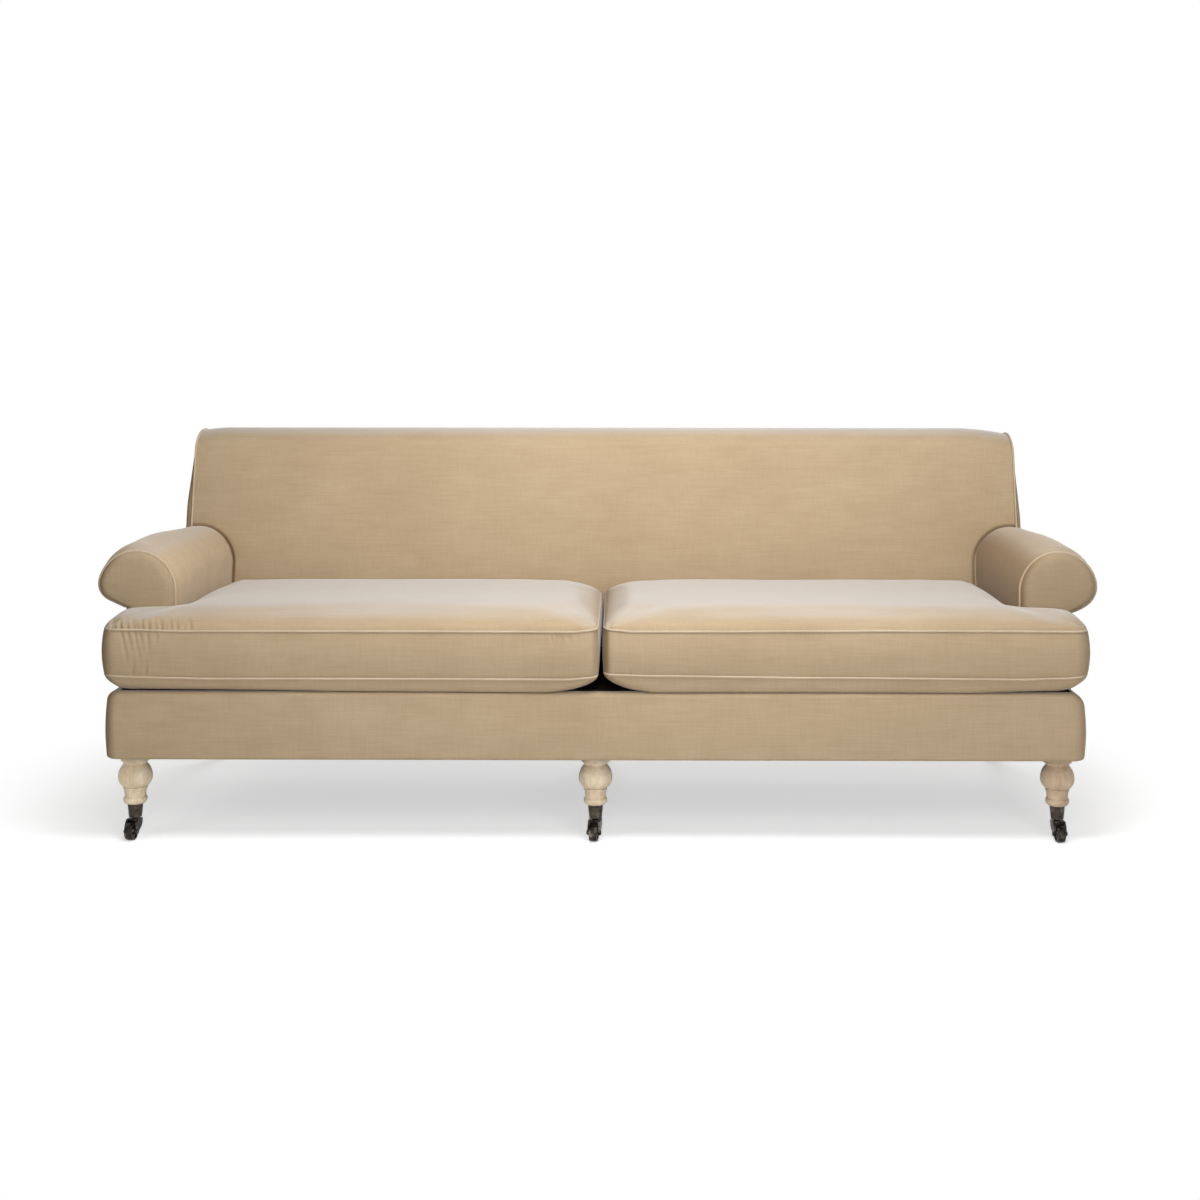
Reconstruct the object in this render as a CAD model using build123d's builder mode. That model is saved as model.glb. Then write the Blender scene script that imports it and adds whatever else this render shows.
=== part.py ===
from build123d import *
import os
from math import hypot, radians, sqrt, tan

# A two-cushion sofa with rolled arms and a tight back, in millimetres.
# The front faces -Y, X runs along the width, Z is up and the floor is Z = 0.
# Depths are counted back from the face of the front border, heights from the floor.

os.makedirs("parts", exist_ok=True)

# Widths
seat_width = 1882  # between the inside faces of the arms
arm_thickness = 119  # inside face of an arm to its outside panel
roll_overhang = 53.5  # how far the roll hangs past the outside panel
outside_padding = 8  # thickness of an outside arm panel
border_side = 12  # thickness of the border round the base's corner
frame_half = seat_width / 2 + arm_thickness - outside_padding

# Casters, from the floor up
wheel_radius = 19.2
wheel_width = 17
wheel_gap = 1.6  # tyre to the bridge of the fork
fork_sheet = 4.4
swivel_gap = 0.5  # fork to cup
swivel_neck = 2.5  # boss between the bridge of the fork and the cup
cup_height = 29
fork_top = 2 * wheel_radius + wheel_gap + fork_sheet
cup_bottom = fork_top + swivel_neck + swivel_gap
cup_top = cup_bottom + cup_height

# Turned front legs, from the caster up
ring_height = 15
shank_length = 18
fillet_height = 4
ball_height = 51
cove_height = 7
collar_height = 13
ring_top = cup_top + ring_height
shank_top = ring_top + shank_length
waist = shank_top + fillet_height
neck = waist + ball_height
collar = neck + cove_height
leg_height = collar + collar_height  # floor to the underside of the frame

# Frame heights
rail_height = 132
rail_top = leg_height + rail_height

# Depths
seat_depth = 596  # face of the border to the inside back, at the deck
back_thickness = 216  # foot of the inside back to the foot of the outside back
base_depth = seat_depth + back_thickness
arm_setback = 122  # face of the border to the face of an arm's front panel
cushion_overhang = 12  # how far the cushions reach past the border
inside_rake = 11  # lean of the inside back in degrees
outside_rake = 5  # lean of the outside back in degrees

# Clearances
soft_gap = 0.3  # between a soft piece and its neighbour
turning_gap = 0.05  # radial clearance of a turning pin

# Timber
rail_thickness = 25
border_front = 22  # padding in front of the front rail
board_thickness = 18

# Upholstery
piping_radius = 3.2
piping_allowance = 2 * piping_radius + soft_gap
arm_padding = 22
arm_panel_padding = 8
back_padding = 88
outside_back = 6  # thickness of the outside back panel
webbing_thickness = 3

# Seat suspension
wire = 4  # thickness of the spring wire
clip_sheet = 1.5  # sheet of a spring clip
clip_gap = 0.1
clip_height = 2 * clip_sheet + 2 * clip_gap + wire
deck_thickness = 8.2
deck_bottom = rail_top + clip_height + soft_gap
deck_top = deck_bottom + deck_thickness
arm_rise = 293  # deck to the top of an arm
back_rise = 541.5  # deck to the top of the back
arm_height = deck_top + arm_rise
overall_height = deck_top + back_rise

# The back leans over the base, so the depth of the whole follows from it.
top_roll = 46  # rise of the rounded top above the shoulders of the back
shoulder = overall_height - top_roll


def inside_line(height):
    return seat_depth + (height - deck_top) * tan(radians(inside_rake))


def outside_line(height):
    return base_depth + (height - leg_height) * tan(radians(outside_rake))


overall_depth = cushion_overhang + outside_line(shoulder)
border_face = cushion_overhang - overall_depth / 2  # Y of the face of the border


def at_depth(depth):
    return border_face + depth


def save(piece, name):
    piece.part.label = name
    export_step(piece.part, f"parts/{name}.step")


def mirrored(piece):
    with BuildPart() as twin:
        add(mirror(piece.part, about=Plane.YZ, mode=Mode.PRIVATE))
    return twin


def save_pair(right_piece, name):
    save(right_piece, f"right_{name}")
    save(mirrored(right_piece), f"left_{name}")


def bar(width_span, depth_span, height_span):
    with BuildPart() as piece:
        with BuildSketch(Plane.XY.offset(height_span[0])):
            with Locations((sum(width_span) / 2, at_depth(sum(depth_span) / 2))):
                Rectangle(width_span[1] - width_span[0], depth_span[1] - depth_span[0])
        extrude(amount=height_span[1] - height_span[0])
    return piece


def gathered(pieces):
    with BuildPart() as group:
        for piece in pieces:
            add(piece.part)
    return group


def across(width):
    return Plane.YZ.offset(width)


def facing(depth):
    return Plane.XZ.offset(-at_depth(depth))


# Base frame
front_rail_back = border_front + rail_thickness
rear_rail_back = base_depth - outside_back
rear_rail_front = rear_rail_back - rail_thickness
rail_span = (leg_height, rail_top)

front_rail = bar((-frame_half, frame_half), (border_front, front_rail_back), rail_span)
save(front_rail, "front_rail")
rear_rail = bar((-frame_half, frame_half), (rear_rail_front, rear_rail_back), rail_span)
save(rear_rail, "rear_rail")
side_rail_inside = frame_half - rail_thickness
side_rail = bar((side_rail_inside, frame_half), (front_rail_back, rear_rail_front), rail_span)
save_pair(side_rail, "side_rail")

# The spring rail takes the rear ends of the springs and the feet of the back posts.
spring_rail_width = 40
stretcher_height = 50
post_bearing = 9  # how far the posts stand on the spring rail
spring_rail_back = inside_line(rail_top) + back_padding + post_bearing
spring_rail_front = spring_rail_back - spring_rail_width
spring_rail = bar(
    (-side_rail_inside, side_rail_inside),
    (spring_rail_front, spring_rail_back),
    (leg_height + stretcher_height, rail_top),
)
save(spring_rail, "spring_rail")

stretcher_width = 40
stretcher_place = 330
stretcher = bar(
    (stretcher_place - stretcher_width / 2, stretcher_place + stretcher_width / 2),
    (front_rail_back, rear_rail_front),
    (leg_height, leg_height + stretcher_height),
)
save(gathered([stretcher, mirrored(stretcher)]), "seat_stretchers")

# Leg blocks: a triangle glued in each corner, a rectangle behind the middle of each rail
corner_block = 115
middle_block = 90
bolt_radius = 4
bolt_hole = bolt_radius + turning_gap
bolt_inset = 15  # bolt axis to the inside face of a side rail
bolt_behind_rail = 13  # bolt axis to the inside face of the front or rear rail
leg_place = side_rail_inside - bolt_inset
front_leg_depth = front_rail_back + bolt_behind_rail
rear_leg_depth = rear_rail_front - bolt_behind_rail

with BuildPart() as leg_blocks:
    for rail_face, inward, bolt_depth in (
        (front_rail_back, 1, front_leg_depth),
        (rear_rail_front, -1, rear_leg_depth),
    ):
        with BuildSketch(Plane.XY.offset(leg_height)):
            for side in (-1, 1):
                corner_x = side * side_rail_inside
                corner_y = at_depth(rail_face)
                with BuildLine():
                    Polyline(
                        (corner_x, corner_y),
                        (corner_x - side * corner_block, corner_y),
                        (corner_x, corner_y + inward * corner_block),
                        close=True,
                    )
                make_face()
            with Locations((0, at_depth(rail_face + inward * middle_block / 2))):
                Rectangle(middle_block, middle_block)
            with Locations(*[(x, at_depth(bolt_depth)) for x in (-leg_place, 0, leg_place)]):
                Circle(bolt_hole, mode=Mode.SUBTRACT)
        extrude(amount=stretcher_height)
save(leg_blocks, "leg_blocks")

# Sinuous springs: straight bars joined by bends of three chords, mitred at the wire's thickness
spring_count = 10
spring_edge = 95  # outer springs to the arms
spring_half_width = 26
spring_pitch = 34
spring_front = border_front + rail_thickness / 2
spring_back = spring_rail_front + spring_rail_width / 2
spring_run = spring_back - spring_front
bend_count = 2 * round(spring_run / spring_pitch / 2)
bend_pitch = spring_run / bend_count
bend_chord = bend_pitch / 2  # a half turn is drawn as three equal chords
bend_rise = bend_chord * sqrt(3) / 2
wire_level = rail_top + clip_sheet + clip_gap


def spring_line(middle):
    bar_half = spring_half_width - bend_rise
    points = [(middle - bar_half, at_depth(spring_front))]
    for bend in range(bend_count):
        side = 1 if bend % 2 == 0 else -1
        y = at_depth(spring_front + bend * bend_pitch)
        points.append((middle + side * bar_half, y))
        points.append((middle + side * spring_half_width, y + bend_chord / 2))
        points.append((middle + side * spring_half_width, y + 3 * bend_chord / 2))
        points.append((middle + side * bar_half, y + bend_pitch))
    points.append((middle + bar_half, at_depth(spring_back)))
    return points


def beside(points, distance):
    # The line that runs beside a line of points, mitred at each turn
    headings = []
    for start, end in zip(points, points[1:]):
        length = hypot(end[0] - start[0], end[1] - start[1])
        headings.append(((end[0] - start[0]) / length, (end[1] - start[1]) / length))
    moved = []
    for number, point in enumerate(points):
        before = headings[max(number - 1, 0)]
        after = headings[min(number, len(headings) - 1)]
        share = 1 + before[0] * after[0] + before[1] * after[1]
        moved.append(
            (
                point[0] - distance * (before[1] + after[1]) / share,
                point[1] + distance * (before[0] + after[0]) / share,
            )
        )
    return moved


spring_reach = seat_width / 2 - spring_edge
spring_step = 2 * spring_reach / (spring_count - 1)
spring_places = [-spring_reach + number * spring_step for number in range(spring_count)]

with BuildPart() as seat_springs:
    with BuildSketch(Plane.XY.offset(wire_level)):
        for place in spring_places:
            line = spring_line(place)
            with BuildLine():
                Polyline(*beside(line, wire / 2), *reversed(beside(line, -wire / 2)), close=True)
            make_face()
    extrude(amount=wire)
save(seat_springs, "seat_springs")

# Spring clips: a strip bent round the end bar of each spring, open towards the seat
clip_width = 20
clip_foot = 9  # end bar to the open end of a clip
clip_back = wire / 2 + clip_gap  # end bar to the closed end of a clip

with BuildPart() as spring_clips:
    for place in spring_places:
        with BuildSketch(across(place - clip_width / 2)):
            for end, inward in ((spring_front, 1), (spring_back, -1)):
                y = at_depth(end)
                closed = y - inward * clip_back
                opened = y + inward * clip_foot
                with BuildLine():
                    Polyline(
                        (opened, rail_top),
                        (closed - inward * clip_sheet, rail_top),
                        (closed - inward * clip_sheet, rail_top + clip_height),
                        (opened, rail_top + clip_height),
                        (opened, rail_top + clip_height - clip_sheet),
                        (closed, rail_top + clip_height - clip_sheet),
                        (closed, rail_top + clip_sheet),
                        (opened, rail_top + clip_sheet),
                        close=True,
                    )
                make_face()
        extrude(amount=clip_width)
save(spring_clips, "spring_clips")

# Seat deck: wide in front of the arms, narrow between them
deck_side_gap = 3
deck_front = border_front + soft_gap
deck_back = inside_line(deck_top) + back_padding - webbing_thickness - 2 * soft_gap
deck_wing_back = arm_setback - deck_side_gap

with BuildPart() as seat_deck:
    with BuildSketch(Plane.XY.offset(deck_bottom)):
        with Locations((0, at_depth((deck_front + deck_wing_back) / 2))):
            Rectangle(2 * (frame_half - soft_gap), deck_wing_back - deck_front)
        with Locations((0, at_depth((deck_wing_back + deck_back) / 2))):
            Rectangle(seat_width - 2 * deck_side_gap, deck_back - deck_wing_back)
    extrude(amount=deck_thickness)
save(seat_deck, "seat_deck")

# Front border: a padded band over the front rail that turns both corners
border_corner = 30
border_edge = 9
border_step = 1  # deck above the border
border_top = deck_top - border_step
border_back = arm_setback + arm_panel_padding
border_half = frame_half + border_side

with BuildPart() as front_border:
    with BuildSketch(Plane.XY.offset(leg_height)):
        with BuildLine():
            FilletPolyline(
                (-border_half, at_depth(border_back)),
                (-border_half, at_depth(0)),
                (border_half, at_depth(0)),
                (border_half, at_depth(border_back)),
                radius=border_corner,
            )
            Polyline(
                (border_half, at_depth(border_back)),
                (frame_half, at_depth(border_back)),
                (frame_half, at_depth(border_front)),
                (-frame_half, at_depth(border_front)),
                (-frame_half, at_depth(border_back)),
                (-border_half, at_depth(border_back)),
            )
        make_face()
    extrude(amount=border_top - leg_height)
    round_edges = [
        edge
        for edge in front_border.edges().group_by(Axis.Z)[-1] + front_border.edges().group_by(Axis.Z)[0]
        if edge.center().Y < at_depth(border_corner / 2) or abs(edge.center().X) > border_half - border_corner / 3
    ]
    outer_edges = [edge for edge in round_edges if abs(edge.center().Y - at_depth(border_front)) > border_edge]
    fillet(outer_edges, border_edge)
save(front_border, "front_border")

# Arm section, seen from the front: up the inside face, over the roll and back under it
arm_inside = seat_width / 2
outside_face = arm_inside + arm_thickness
roll_outside = outside_face + roll_overhang
roll_middle = (arm_inside + roll_outside) / 2
roll_rise = 90  # start of the roll to its top, on the inside
roll_drop = 67  # top of the roll to its widest place
roll_under = 111  # top of the roll to the turn under it
roll_tuck = 136  # top of the roll to the seam under it
roll_under_inset = 20  # widest place to the turn under it
tuck_height = arm_height - roll_tuck


def arm_curve(inset):
    # Call inside a BuildLine; the inset is measured in from the cover
    rise = Line((arm_inside + inset, rail_top), (arm_inside + inset, arm_height - roll_rise))
    crown = TangentArc(rise @ 1, (roll_middle, arm_height - inset), tangent=rise % 1)
    shoulder_arc = TangentArc(crown @ 1, (roll_outside - inset, arm_height - roll_drop), tangent=crown % 1)
    under = (roll_outside - roll_under_inset - inset / 2, arm_height - roll_under + inset)
    turn = TangentArc(shoulder_arc @ 1, under, tangent=shoulder_arc % 1)
    return TangentArc(turn @ 1, (outside_face, tuck_height + inset), tangent=turn % 1)


def arm_section(depth, inset, outer_face):
    # The area inside the arm's curve, closed down its outer face
    with BuildSketch(facing(depth)) as section:
        with BuildLine():
            tuck = arm_curve(inset)
            Polyline(
                tuck @ 1,
                (outer_face, tuck_height + inset),
                (outer_face, rail_top),
                (arm_inside + inset, rail_top),
            )
        make_face()
    return section.sketch


arm_pad_front = arm_setback + arm_panel_padding
arm_rear_wall = 4  # cover over the rear end of the roll
arm_back = outside_line(tuck_height) - arm_rear_wall
arm_board_inset = arm_padding + soft_gap
back_lip = 6  # room for the crown of the back behind the arms
arm_frame_back = inside_line(rail_top) - 2 * board_thickness

# The space that the back takes up between and behind the arms
back_half = frame_half
with BuildPart() as back_space:
    with BuildSketch(across(-back_half - soft_gap)):
        with BuildLine():
            Polyline(
                (at_depth(inside_line(0) - back_lip), 0),
                (at_depth(inside_line(overall_height) - back_lip), overall_height),
                (at_depth(outside_line(overall_height) + back_padding), overall_height),
                (at_depth(outside_line(0) + back_padding), 0),
                close=True,
            )
        make_face()
    extrude(amount=2 * (back_half + soft_gap))

with BuildPart() as right_arm_pad:
    extrude(arm_section(arm_pad_front, 0, frame_half), amount=arm_pad_front - arm_back)
    extrude(
        arm_section(arm_pad_front, arm_padding, frame_half),
        amount=arm_pad_front - arm_frame_back - soft_gap,
        mode=Mode.SUBTRACT,
    )
    add(back_space.part, mode=Mode.SUBTRACT)
save_pair(right_arm_pad, "arm_pad")

with BuildPart() as right_arm_front_board:
    extrude(
        arm_section(arm_pad_front + soft_gap, arm_board_inset, frame_half), amount=-board_thickness
    )
save_pair(right_arm_front_board, "arm_front_board")

rear_board_front = arm_frame_back - board_thickness
with BuildPart() as right_arm_rear_board:
    extrude(arm_section(rear_board_front, arm_board_inset, frame_half), amount=-board_thickness)
save(gathered([right_arm_rear_board, mirrored(right_arm_rear_board)]), "arm_rear_boards")

# Arm rails between the two boards: one under the roll, two tack rails lower down
arm_rail_span = (arm_pad_front + soft_gap + board_thickness, rear_board_front)
arm_rail_width = 70
arm_rail_thickness = 20
arm_rail_drop = 55  # top of the roll to the top of its rail
tack_rail_height = 45
inner_tack_drop = 245  # top of the roll to the tack rails
outer_tack_drop = 150
arm_top_rail = bar(
    (roll_middle - arm_rail_width / 2, roll_middle + arm_rail_width / 2),
    arm_rail_span,
    (arm_height - arm_rail_drop - arm_rail_thickness, arm_height - arm_rail_drop),
)
inner_tack_rail = bar(
    (arm_inside + arm_board_inset, arm_inside + arm_board_inset + arm_rail_thickness),
    arm_rail_span,
    (arm_height - inner_tack_drop - tack_rail_height, arm_height - inner_tack_drop),
)
outer_tack_rail = bar(
    (frame_half - arm_rail_thickness, frame_half),
    arm_rail_span,
    (arm_height - outer_tack_drop - tack_rail_height, arm_height - outer_tack_drop),
)
right_arm_rails = gathered([arm_top_rail, inner_tack_rail, outer_tack_rail])
save_pair(right_arm_rails, "arm_rails")

# Front panel of an arm, with its piping round it
panel_edge = 3
panel_inset = piping_allowance + 3 * soft_gap
with BuildPart() as right_arm_front_panel:
    extrude(
        arm_section(arm_setback, panel_inset, frame_half - panel_inset),
        amount=-(arm_panel_padding - soft_gap),
    )
    fillet(right_arm_front_panel.edges().group_by(Axis.Y)[0], panel_edge)
save_pair(right_arm_front_panel, "arm_front_panel")

piping_depth = arm_pad_front - soft_gap - piping_radius
with BuildPart() as right_arm_piping:
    with BuildLine(facing(piping_depth)) as arm_welt:
        arm_curve(piping_radius)
    with BuildSketch(Plane(arm_welt.line @ 0, z_dir=arm_welt.line % 0)):
        Circle(piping_radius)
    sweep(path=arm_welt.line)
save_pair(right_arm_piping, "arm_piping")

# Outside panel: from under the roll to the underside, back to the outside back
with BuildPart() as right_outside_panel:
    with BuildSketch(across(frame_half)):
        with BuildLine():
            Polyline(
                (at_depth(border_back + soft_gap), leg_height),
                (at_depth(outside_line(leg_height)), leg_height),
                (at_depth(outside_line(tuck_height - soft_gap)), tuck_height - soft_gap),
                (at_depth(border_back + soft_gap), tuck_height - soft_gap),
                close=True,
            )
        make_face()
    extrude(amount=outside_padding)
save_pair(right_outside_panel, "outside_panel")

# Back frame: posts stand on the spring rail and the rear rail and carry the top rail
post_thickness = 26
post_drop = 24  # shoulder of the back to the top of the posts
post_top = shoulder - post_drop
top_rail_height = 40
top_rail_depth = 70
back_panel_thickness = piping_allowance + soft_gap
inner_post_place = 350
outer_post_place = frame_half - back_panel_thickness - post_thickness / 2


def post_front(height):
    return inside_line(height) + back_padding


def post_back(height):
    return outside_line(height) - outside_back


with BuildPart() as back_posts:
    for place in (-outer_post_place, -inner_post_place, inner_post_place, outer_post_place):
        with BuildSketch(across(place - post_thickness / 2)):
            with BuildLine():
                Polyline(
                    (at_depth(post_front(rail_top)), rail_top),
                    (at_depth(post_front(post_top)), post_top),
                    (at_depth(post_back(post_top)), post_top),
                    (at_depth(post_back(rail_top)), rail_top),
                    close=True,
                )
            make_face()
        extrude(amount=post_thickness)
save(back_posts, "back_posts")

top_rail_back = post_back(post_top)
top_rail_front = top_rail_back - top_rail_depth
back_end = back_half - back_panel_thickness
top_rail_top = post_top + top_rail_height
back_top_rail = bar(
    (-back_end, back_end), (top_rail_front, top_rail_back), (post_top, top_rail_top)
)
save(back_top_rail, "back_top_rail")

tack_above_deck = 14
tack_low = deck_top + tack_above_deck
tack_front = post_front(tack_low + tack_rail_height)
inner_clear = inner_post_place - post_thickness / 2
outer_clear = (inner_post_place + post_thickness / 2, outer_post_place - post_thickness / 2)
tack_place = ((tack_front, tack_front + rail_thickness), (tack_low, tack_low + tack_rail_height))
middle_tack = bar((-inner_clear, inner_clear), *tack_place)
side_tack = bar(outer_clear, *tack_place)
save(gathered([middle_tack, side_tack, mirrored(side_tack)]), "back_tack_rails")

# Webbing: level straps over the front edges of the posts
strap_count = 5
strap_width = 50
strap_above_deck = 75
strap_below_rail = 20
strap_first = deck_top + strap_above_deck
strap_last = post_top - strap_below_rail - strap_width
with BuildPart() as back_webbing:
    for number in range(strap_count):
        low = strap_first + number * (strap_last - strap_first) / (strap_count - 1)
        high = low + strap_width
        with BuildSketch(across(-back_end)):
            with BuildLine():
                Polyline(
                    (at_depth(post_front(low) - webbing_thickness), low),
                    (at_depth(post_front(low)), low),
                    (at_depth(post_front(high)), high),
                    (at_depth(post_front(high) - webbing_thickness), high),
                    close=True,
                )
            make_face()
        extrude(amount=2 * back_end)
save(back_webbing, "back_webbing")

# Inside back: one pad that crowns towards the middle and rounds over the top rail
rear_seam_drop = 15  # shoulder of the back to the seam behind it
rear_seam = shoulder - rear_seam_drop
back_crown = 20  # how far the middle of the back stands out
back_bow = 4  # how far its sides stand out
corner_drop = 15  # fall of the top at the two corners
corner_reach = 80  # how far in from the side the fall begins


def pad_behind(height):
    return post_front(height) - webbing_thickness - soft_gap


def back_section(place, bow, drop):
    # One slice of the pad: down its front by an arc, over the top by another, back along the frame
    low = deck_top + soft_gap
    with BuildSketch(across(place)) as section:
        with BuildLine():
            middle = (low + shoulder) / 2
            face = ThreePointArc(
                (at_depth(inside_line(low)), low),
                (at_depth(inside_line(middle) - bow), middle),
                (at_depth(inside_line(shoulder) + drop / 2), shoulder - drop),
            )
            roll = ThreePointArc(
                face @ 1,
                (at_depth((inside_line(shoulder) + outside_line(shoulder)) / 2), overall_height - drop),
                (at_depth(outside_line(shoulder)), shoulder - drop / 2),
            )
            Polyline(
                roll @ 1,
                (at_depth(outside_line(rear_seam)), rear_seam),
                (at_depth(top_rail_back + soft_gap), rear_seam),
                (at_depth(top_rail_back + soft_gap), top_rail_top + soft_gap),
                (at_depth(top_rail_front - soft_gap), top_rail_top + soft_gap),
                (at_depth(pad_behind(post_top)), post_top),
                (at_depth(pad_behind(low)), low),
                face @ 0,
            )
        make_face()
    return section.sketch


shoulder_place = back_end - corner_reach
corner_slices = (
    (shoulder_place, back_bow, 0),
    (shoulder_place + corner_reach / 2, back_bow, corner_drop / 4),
    (back_end, back_bow, corner_drop),
)
with BuildPart() as back_pad:
    loft(
        [
            back_section(-shoulder_place, back_bow, 0),
            back_section(0, back_crown, 0),
            back_section(shoulder_place, back_bow, 0),
        ]
    )
    for side in (-1, 1):
        loft([back_section(side * place, bow, drop) for place, bow, drop in corner_slices])
save(back_pad, "back_pad")


def back_side_curve(inset, low):
    # Call inside a BuildLine; the edge of the back seen from its side, from a low place to the rear seam
    edge_top = shoulder - corner_drop
    face = Line(
        (at_depth(inside_line(low) + inset), low),
        (at_depth(inside_line(edge_top) + inset), edge_top),
    )
    return face, ThreePointArc(
        face @ 1,
        (
            at_depth((inside_line(shoulder) + outside_line(shoulder)) / 2),
            overall_height - corner_drop - inset,
        ),
        (at_depth(outside_line(shoulder) - inset), shoulder - corner_drop / 2),
    )


with BuildPart() as right_back_side_panel:
    with BuildSketch(across(back_end + soft_gap)):
        with BuildLine():
            panel_low = deck_top + soft_gap
            panel_face, panel_roll = back_side_curve(panel_inset, panel_low)
            Polyline(
                panel_roll @ 1,
                (at_depth(outside_line(rear_seam) - panel_inset), rear_seam),
                (at_depth(post_back(panel_low)), panel_low),
                panel_face @ 0,
            )
        make_face()
    extrude(amount=back_panel_thickness - soft_gap)
save_pair(right_back_side_panel, "back_side_panel")

welt_tuck = 45  # the piping begins this far below the top of the arm, behind it
welt_start = arm_height - welt_tuck
with BuildPart() as right_back_piping:
    with BuildLine(across(back_end + soft_gap + piping_radius)) as back_welt:
        back_side_curve(piping_radius, welt_start)
    with BuildSketch(Plane(back_welt.line @ 0, z_dir=back_welt.line % 0)):
        Circle(piping_radius)
    sweep(path=back_welt.line, transition=Transition.ROUND)
save_pair(right_back_piping, "back_piping")

with BuildPart() as outside_back_panel:
    with BuildSketch(across(-frame_half)):
        with BuildLine():
            Polyline(
                (at_depth(outside_line(leg_height) - outside_back), leg_height),
                (at_depth(outside_line(leg_height)), leg_height),
                (at_depth(outside_line(rear_seam - soft_gap)), rear_seam - soft_gap),
                (at_depth(outside_line(rear_seam - soft_gap) - outside_back), rear_seam - soft_gap),
                close=True,
            )
        make_face()
    extrude(amount=2 * frame_half)
save(outside_back_panel, "outside_back_panel")

# Seat cushions: T-shaped, with an ear in front of each arm
cushion_split = 5  # gap between the two cushions
cushion_side_gap = 3  # to the inside face of an arm and to its front panel
ear_overhang = 10  # how far an ear reaches past the outside panel
cushion_foot = 35  # underside to the lower piping
boxing_height = 101  # lower piping to the upper piping
cushion_crown = 44  # upper piping to the top
ear_crown = 36  # upper piping to the top of an ear
draw_in = 4  # how far a long side pulls in between its corners
ear_draw_in = 1.5
cushion_low = deck_top + soft_gap
low_seam = cushion_low + cushion_foot
high_seam = low_seam + boxing_height
cushion_back = seat_depth - cushion_side_gap
ear_back = arm_setback - cushion_side_gap
ear_outside = outside_face + ear_overhang
cushion_outside = arm_inside - cushion_side_gap


def drawn_outline(level, corners, radii, sags):
    # A closed outline whose sides pull in and whose corners are rounded
    with BuildSketch(Plane.XY.offset(level)) as outline:
        with BuildLine():
            for start, end, sag in zip(corners, corners[1:] + corners[:1], sags):
                length = hypot(end[0] - start[0], end[1] - start[1])
                inward = (-(end[1] - start[1]) / length, (end[0] - start[0]) / length)
                middle = (
                    (start[0] + end[0]) / 2 + sag * inward[0],
                    (start[1] + end[1]) / 2 + sag * inward[1],
                )
                ThreePointArc(start, middle, end)
        make_face()
        for corner, radius in zip(corners, radii):
            fillet(outline.vertices().sort_by_distance((*corner, 0))[0], radius)
    return outline.sketch


corner_round = 42
inner_corner_round = 26
notch_round = 14


def cushion_outline(level, inset):
    # Right cushion, counter-clockwise from its inner front corner; the fifth corner is the notch
    corners = [
        (cushion_split / 2 + inset, at_depth(inset - cushion_overhang)),
        (ear_outside - inset, at_depth(inset - cushion_overhang)),
        (ear_outside - inset, at_depth(ear_back - inset)),
        (cushion_outside - inset, at_depth(ear_back - inset)),
        (cushion_outside - inset, at_depth(cushion_back - inset)),
        (cushion_split / 2 + inset, at_depth(cushion_back - inset)),
    ]
    ear_left = ear_back + cushion_overhang - 2 * inset  # depth of the ear at this inset
    outer = min(corner_round, ear_left / 2)
    inner = min(inner_corner_round, ear_left / 3)
    radii = [inner, outer, inner, notch_round + inset / 2, inner, inner]
    sags = [draw_in, ear_draw_in, ear_draw_in, draw_in, draw_in, draw_in]
    return drawn_outline(level, corners, radii, sags)


def crown_outline(level, inset):
    # The part of the top between the arm and the middle, which rises above the ear
    left, right = cushion_split / 2 + inset, cushion_outside - inset
    front, back = at_depth(inset - cushion_overhang), at_depth(cushion_back - inset)
    corners = [(left, front), (right, front), (right, back), (left, back)]
    return drawn_outline(level, corners, [corner_round] * 4, [draw_in] * 4)


seam_inset = piping_allowance + soft_gap
boxing_bulge = 2
underside_inset = 46
ear_shoulder = 42  # how far in from the seam the ear's crown levels off
dome_shoulder = 130  # how far in from there the middle of the cushion levels off
crown_steps = ((0.5, 0.27), (0.85, 0.62), (1, 1))  # shares of the rise and of the shoulder
dome_steps = ((0, 0.1), (0.6, 0.45), (1, 1))

with BuildPart() as right_seat_cushion:
    slices = [
        cushion_outline(cushion_low, seam_inset + underside_inset),
        cushion_outline(cushion_low + cushion_foot / 3, seam_inset + underside_inset / 3),
        cushion_outline(low_seam, seam_inset),
        cushion_outline((low_seam + high_seam) / 2, seam_inset - boxing_bulge),
        cushion_outline(high_seam, seam_inset),
    ]
    for rise, reach in crown_steps:
        slices.append(cushion_outline(high_seam + rise * ear_crown, seam_inset + reach * ear_shoulder))
    loft(slices)
    dome_foot = high_seam + ear_crown
    dome_rise = cushion_crown - ear_crown
    loft(
        [
            crown_outline(dome_foot + rise * dome_rise, seam_inset + ear_shoulder + reach * dome_shoulder)
            for rise, reach in dome_steps
        ]
    )
save_pair(right_seat_cushion, "seat_cushion")

with BuildPart() as right_cushion_piping:
    for seam in (low_seam, high_seam):
        cushion_welt = cushion_outline(seam, piping_radius).wire()
        with BuildSketch(Plane(cushion_welt @ 0, z_dir=cushion_welt % 0)):
            Circle(piping_radius)
        sweep(path=cushion_welt)
save_pair(right_cushion_piping, "cushion_piping")

# Front legs: turned, with a ball under a short neck and a ring above the caster
collar_radius = 31
neck_radius = 25
ball_radius = 37
ball_belly = 22.5  # waist to the widest place of the ball
waist_radius = 24.5
fillet_radius = 26
shank_top_radius = 24.2
shank_radius = 22.9
ring_shoulder_radius = 24.6
ring_radius = 25.8
ring_belly = 9  # top of the caster to the widest place of the ring
cup_top_radius = 17
cup_bottom_radius = 14
cup_wall = 1.8
cup_floor = 4
spigot_gap = 0.2
stem_radius = 3.5
stem_head_radius = 6
stem_head_height = 2.5
spigot_foot = cup_bottom + cup_floor + stem_head_height + 2 * swivel_gap
bolt_in_leg = 40
bolt_in_block = 45


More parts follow.
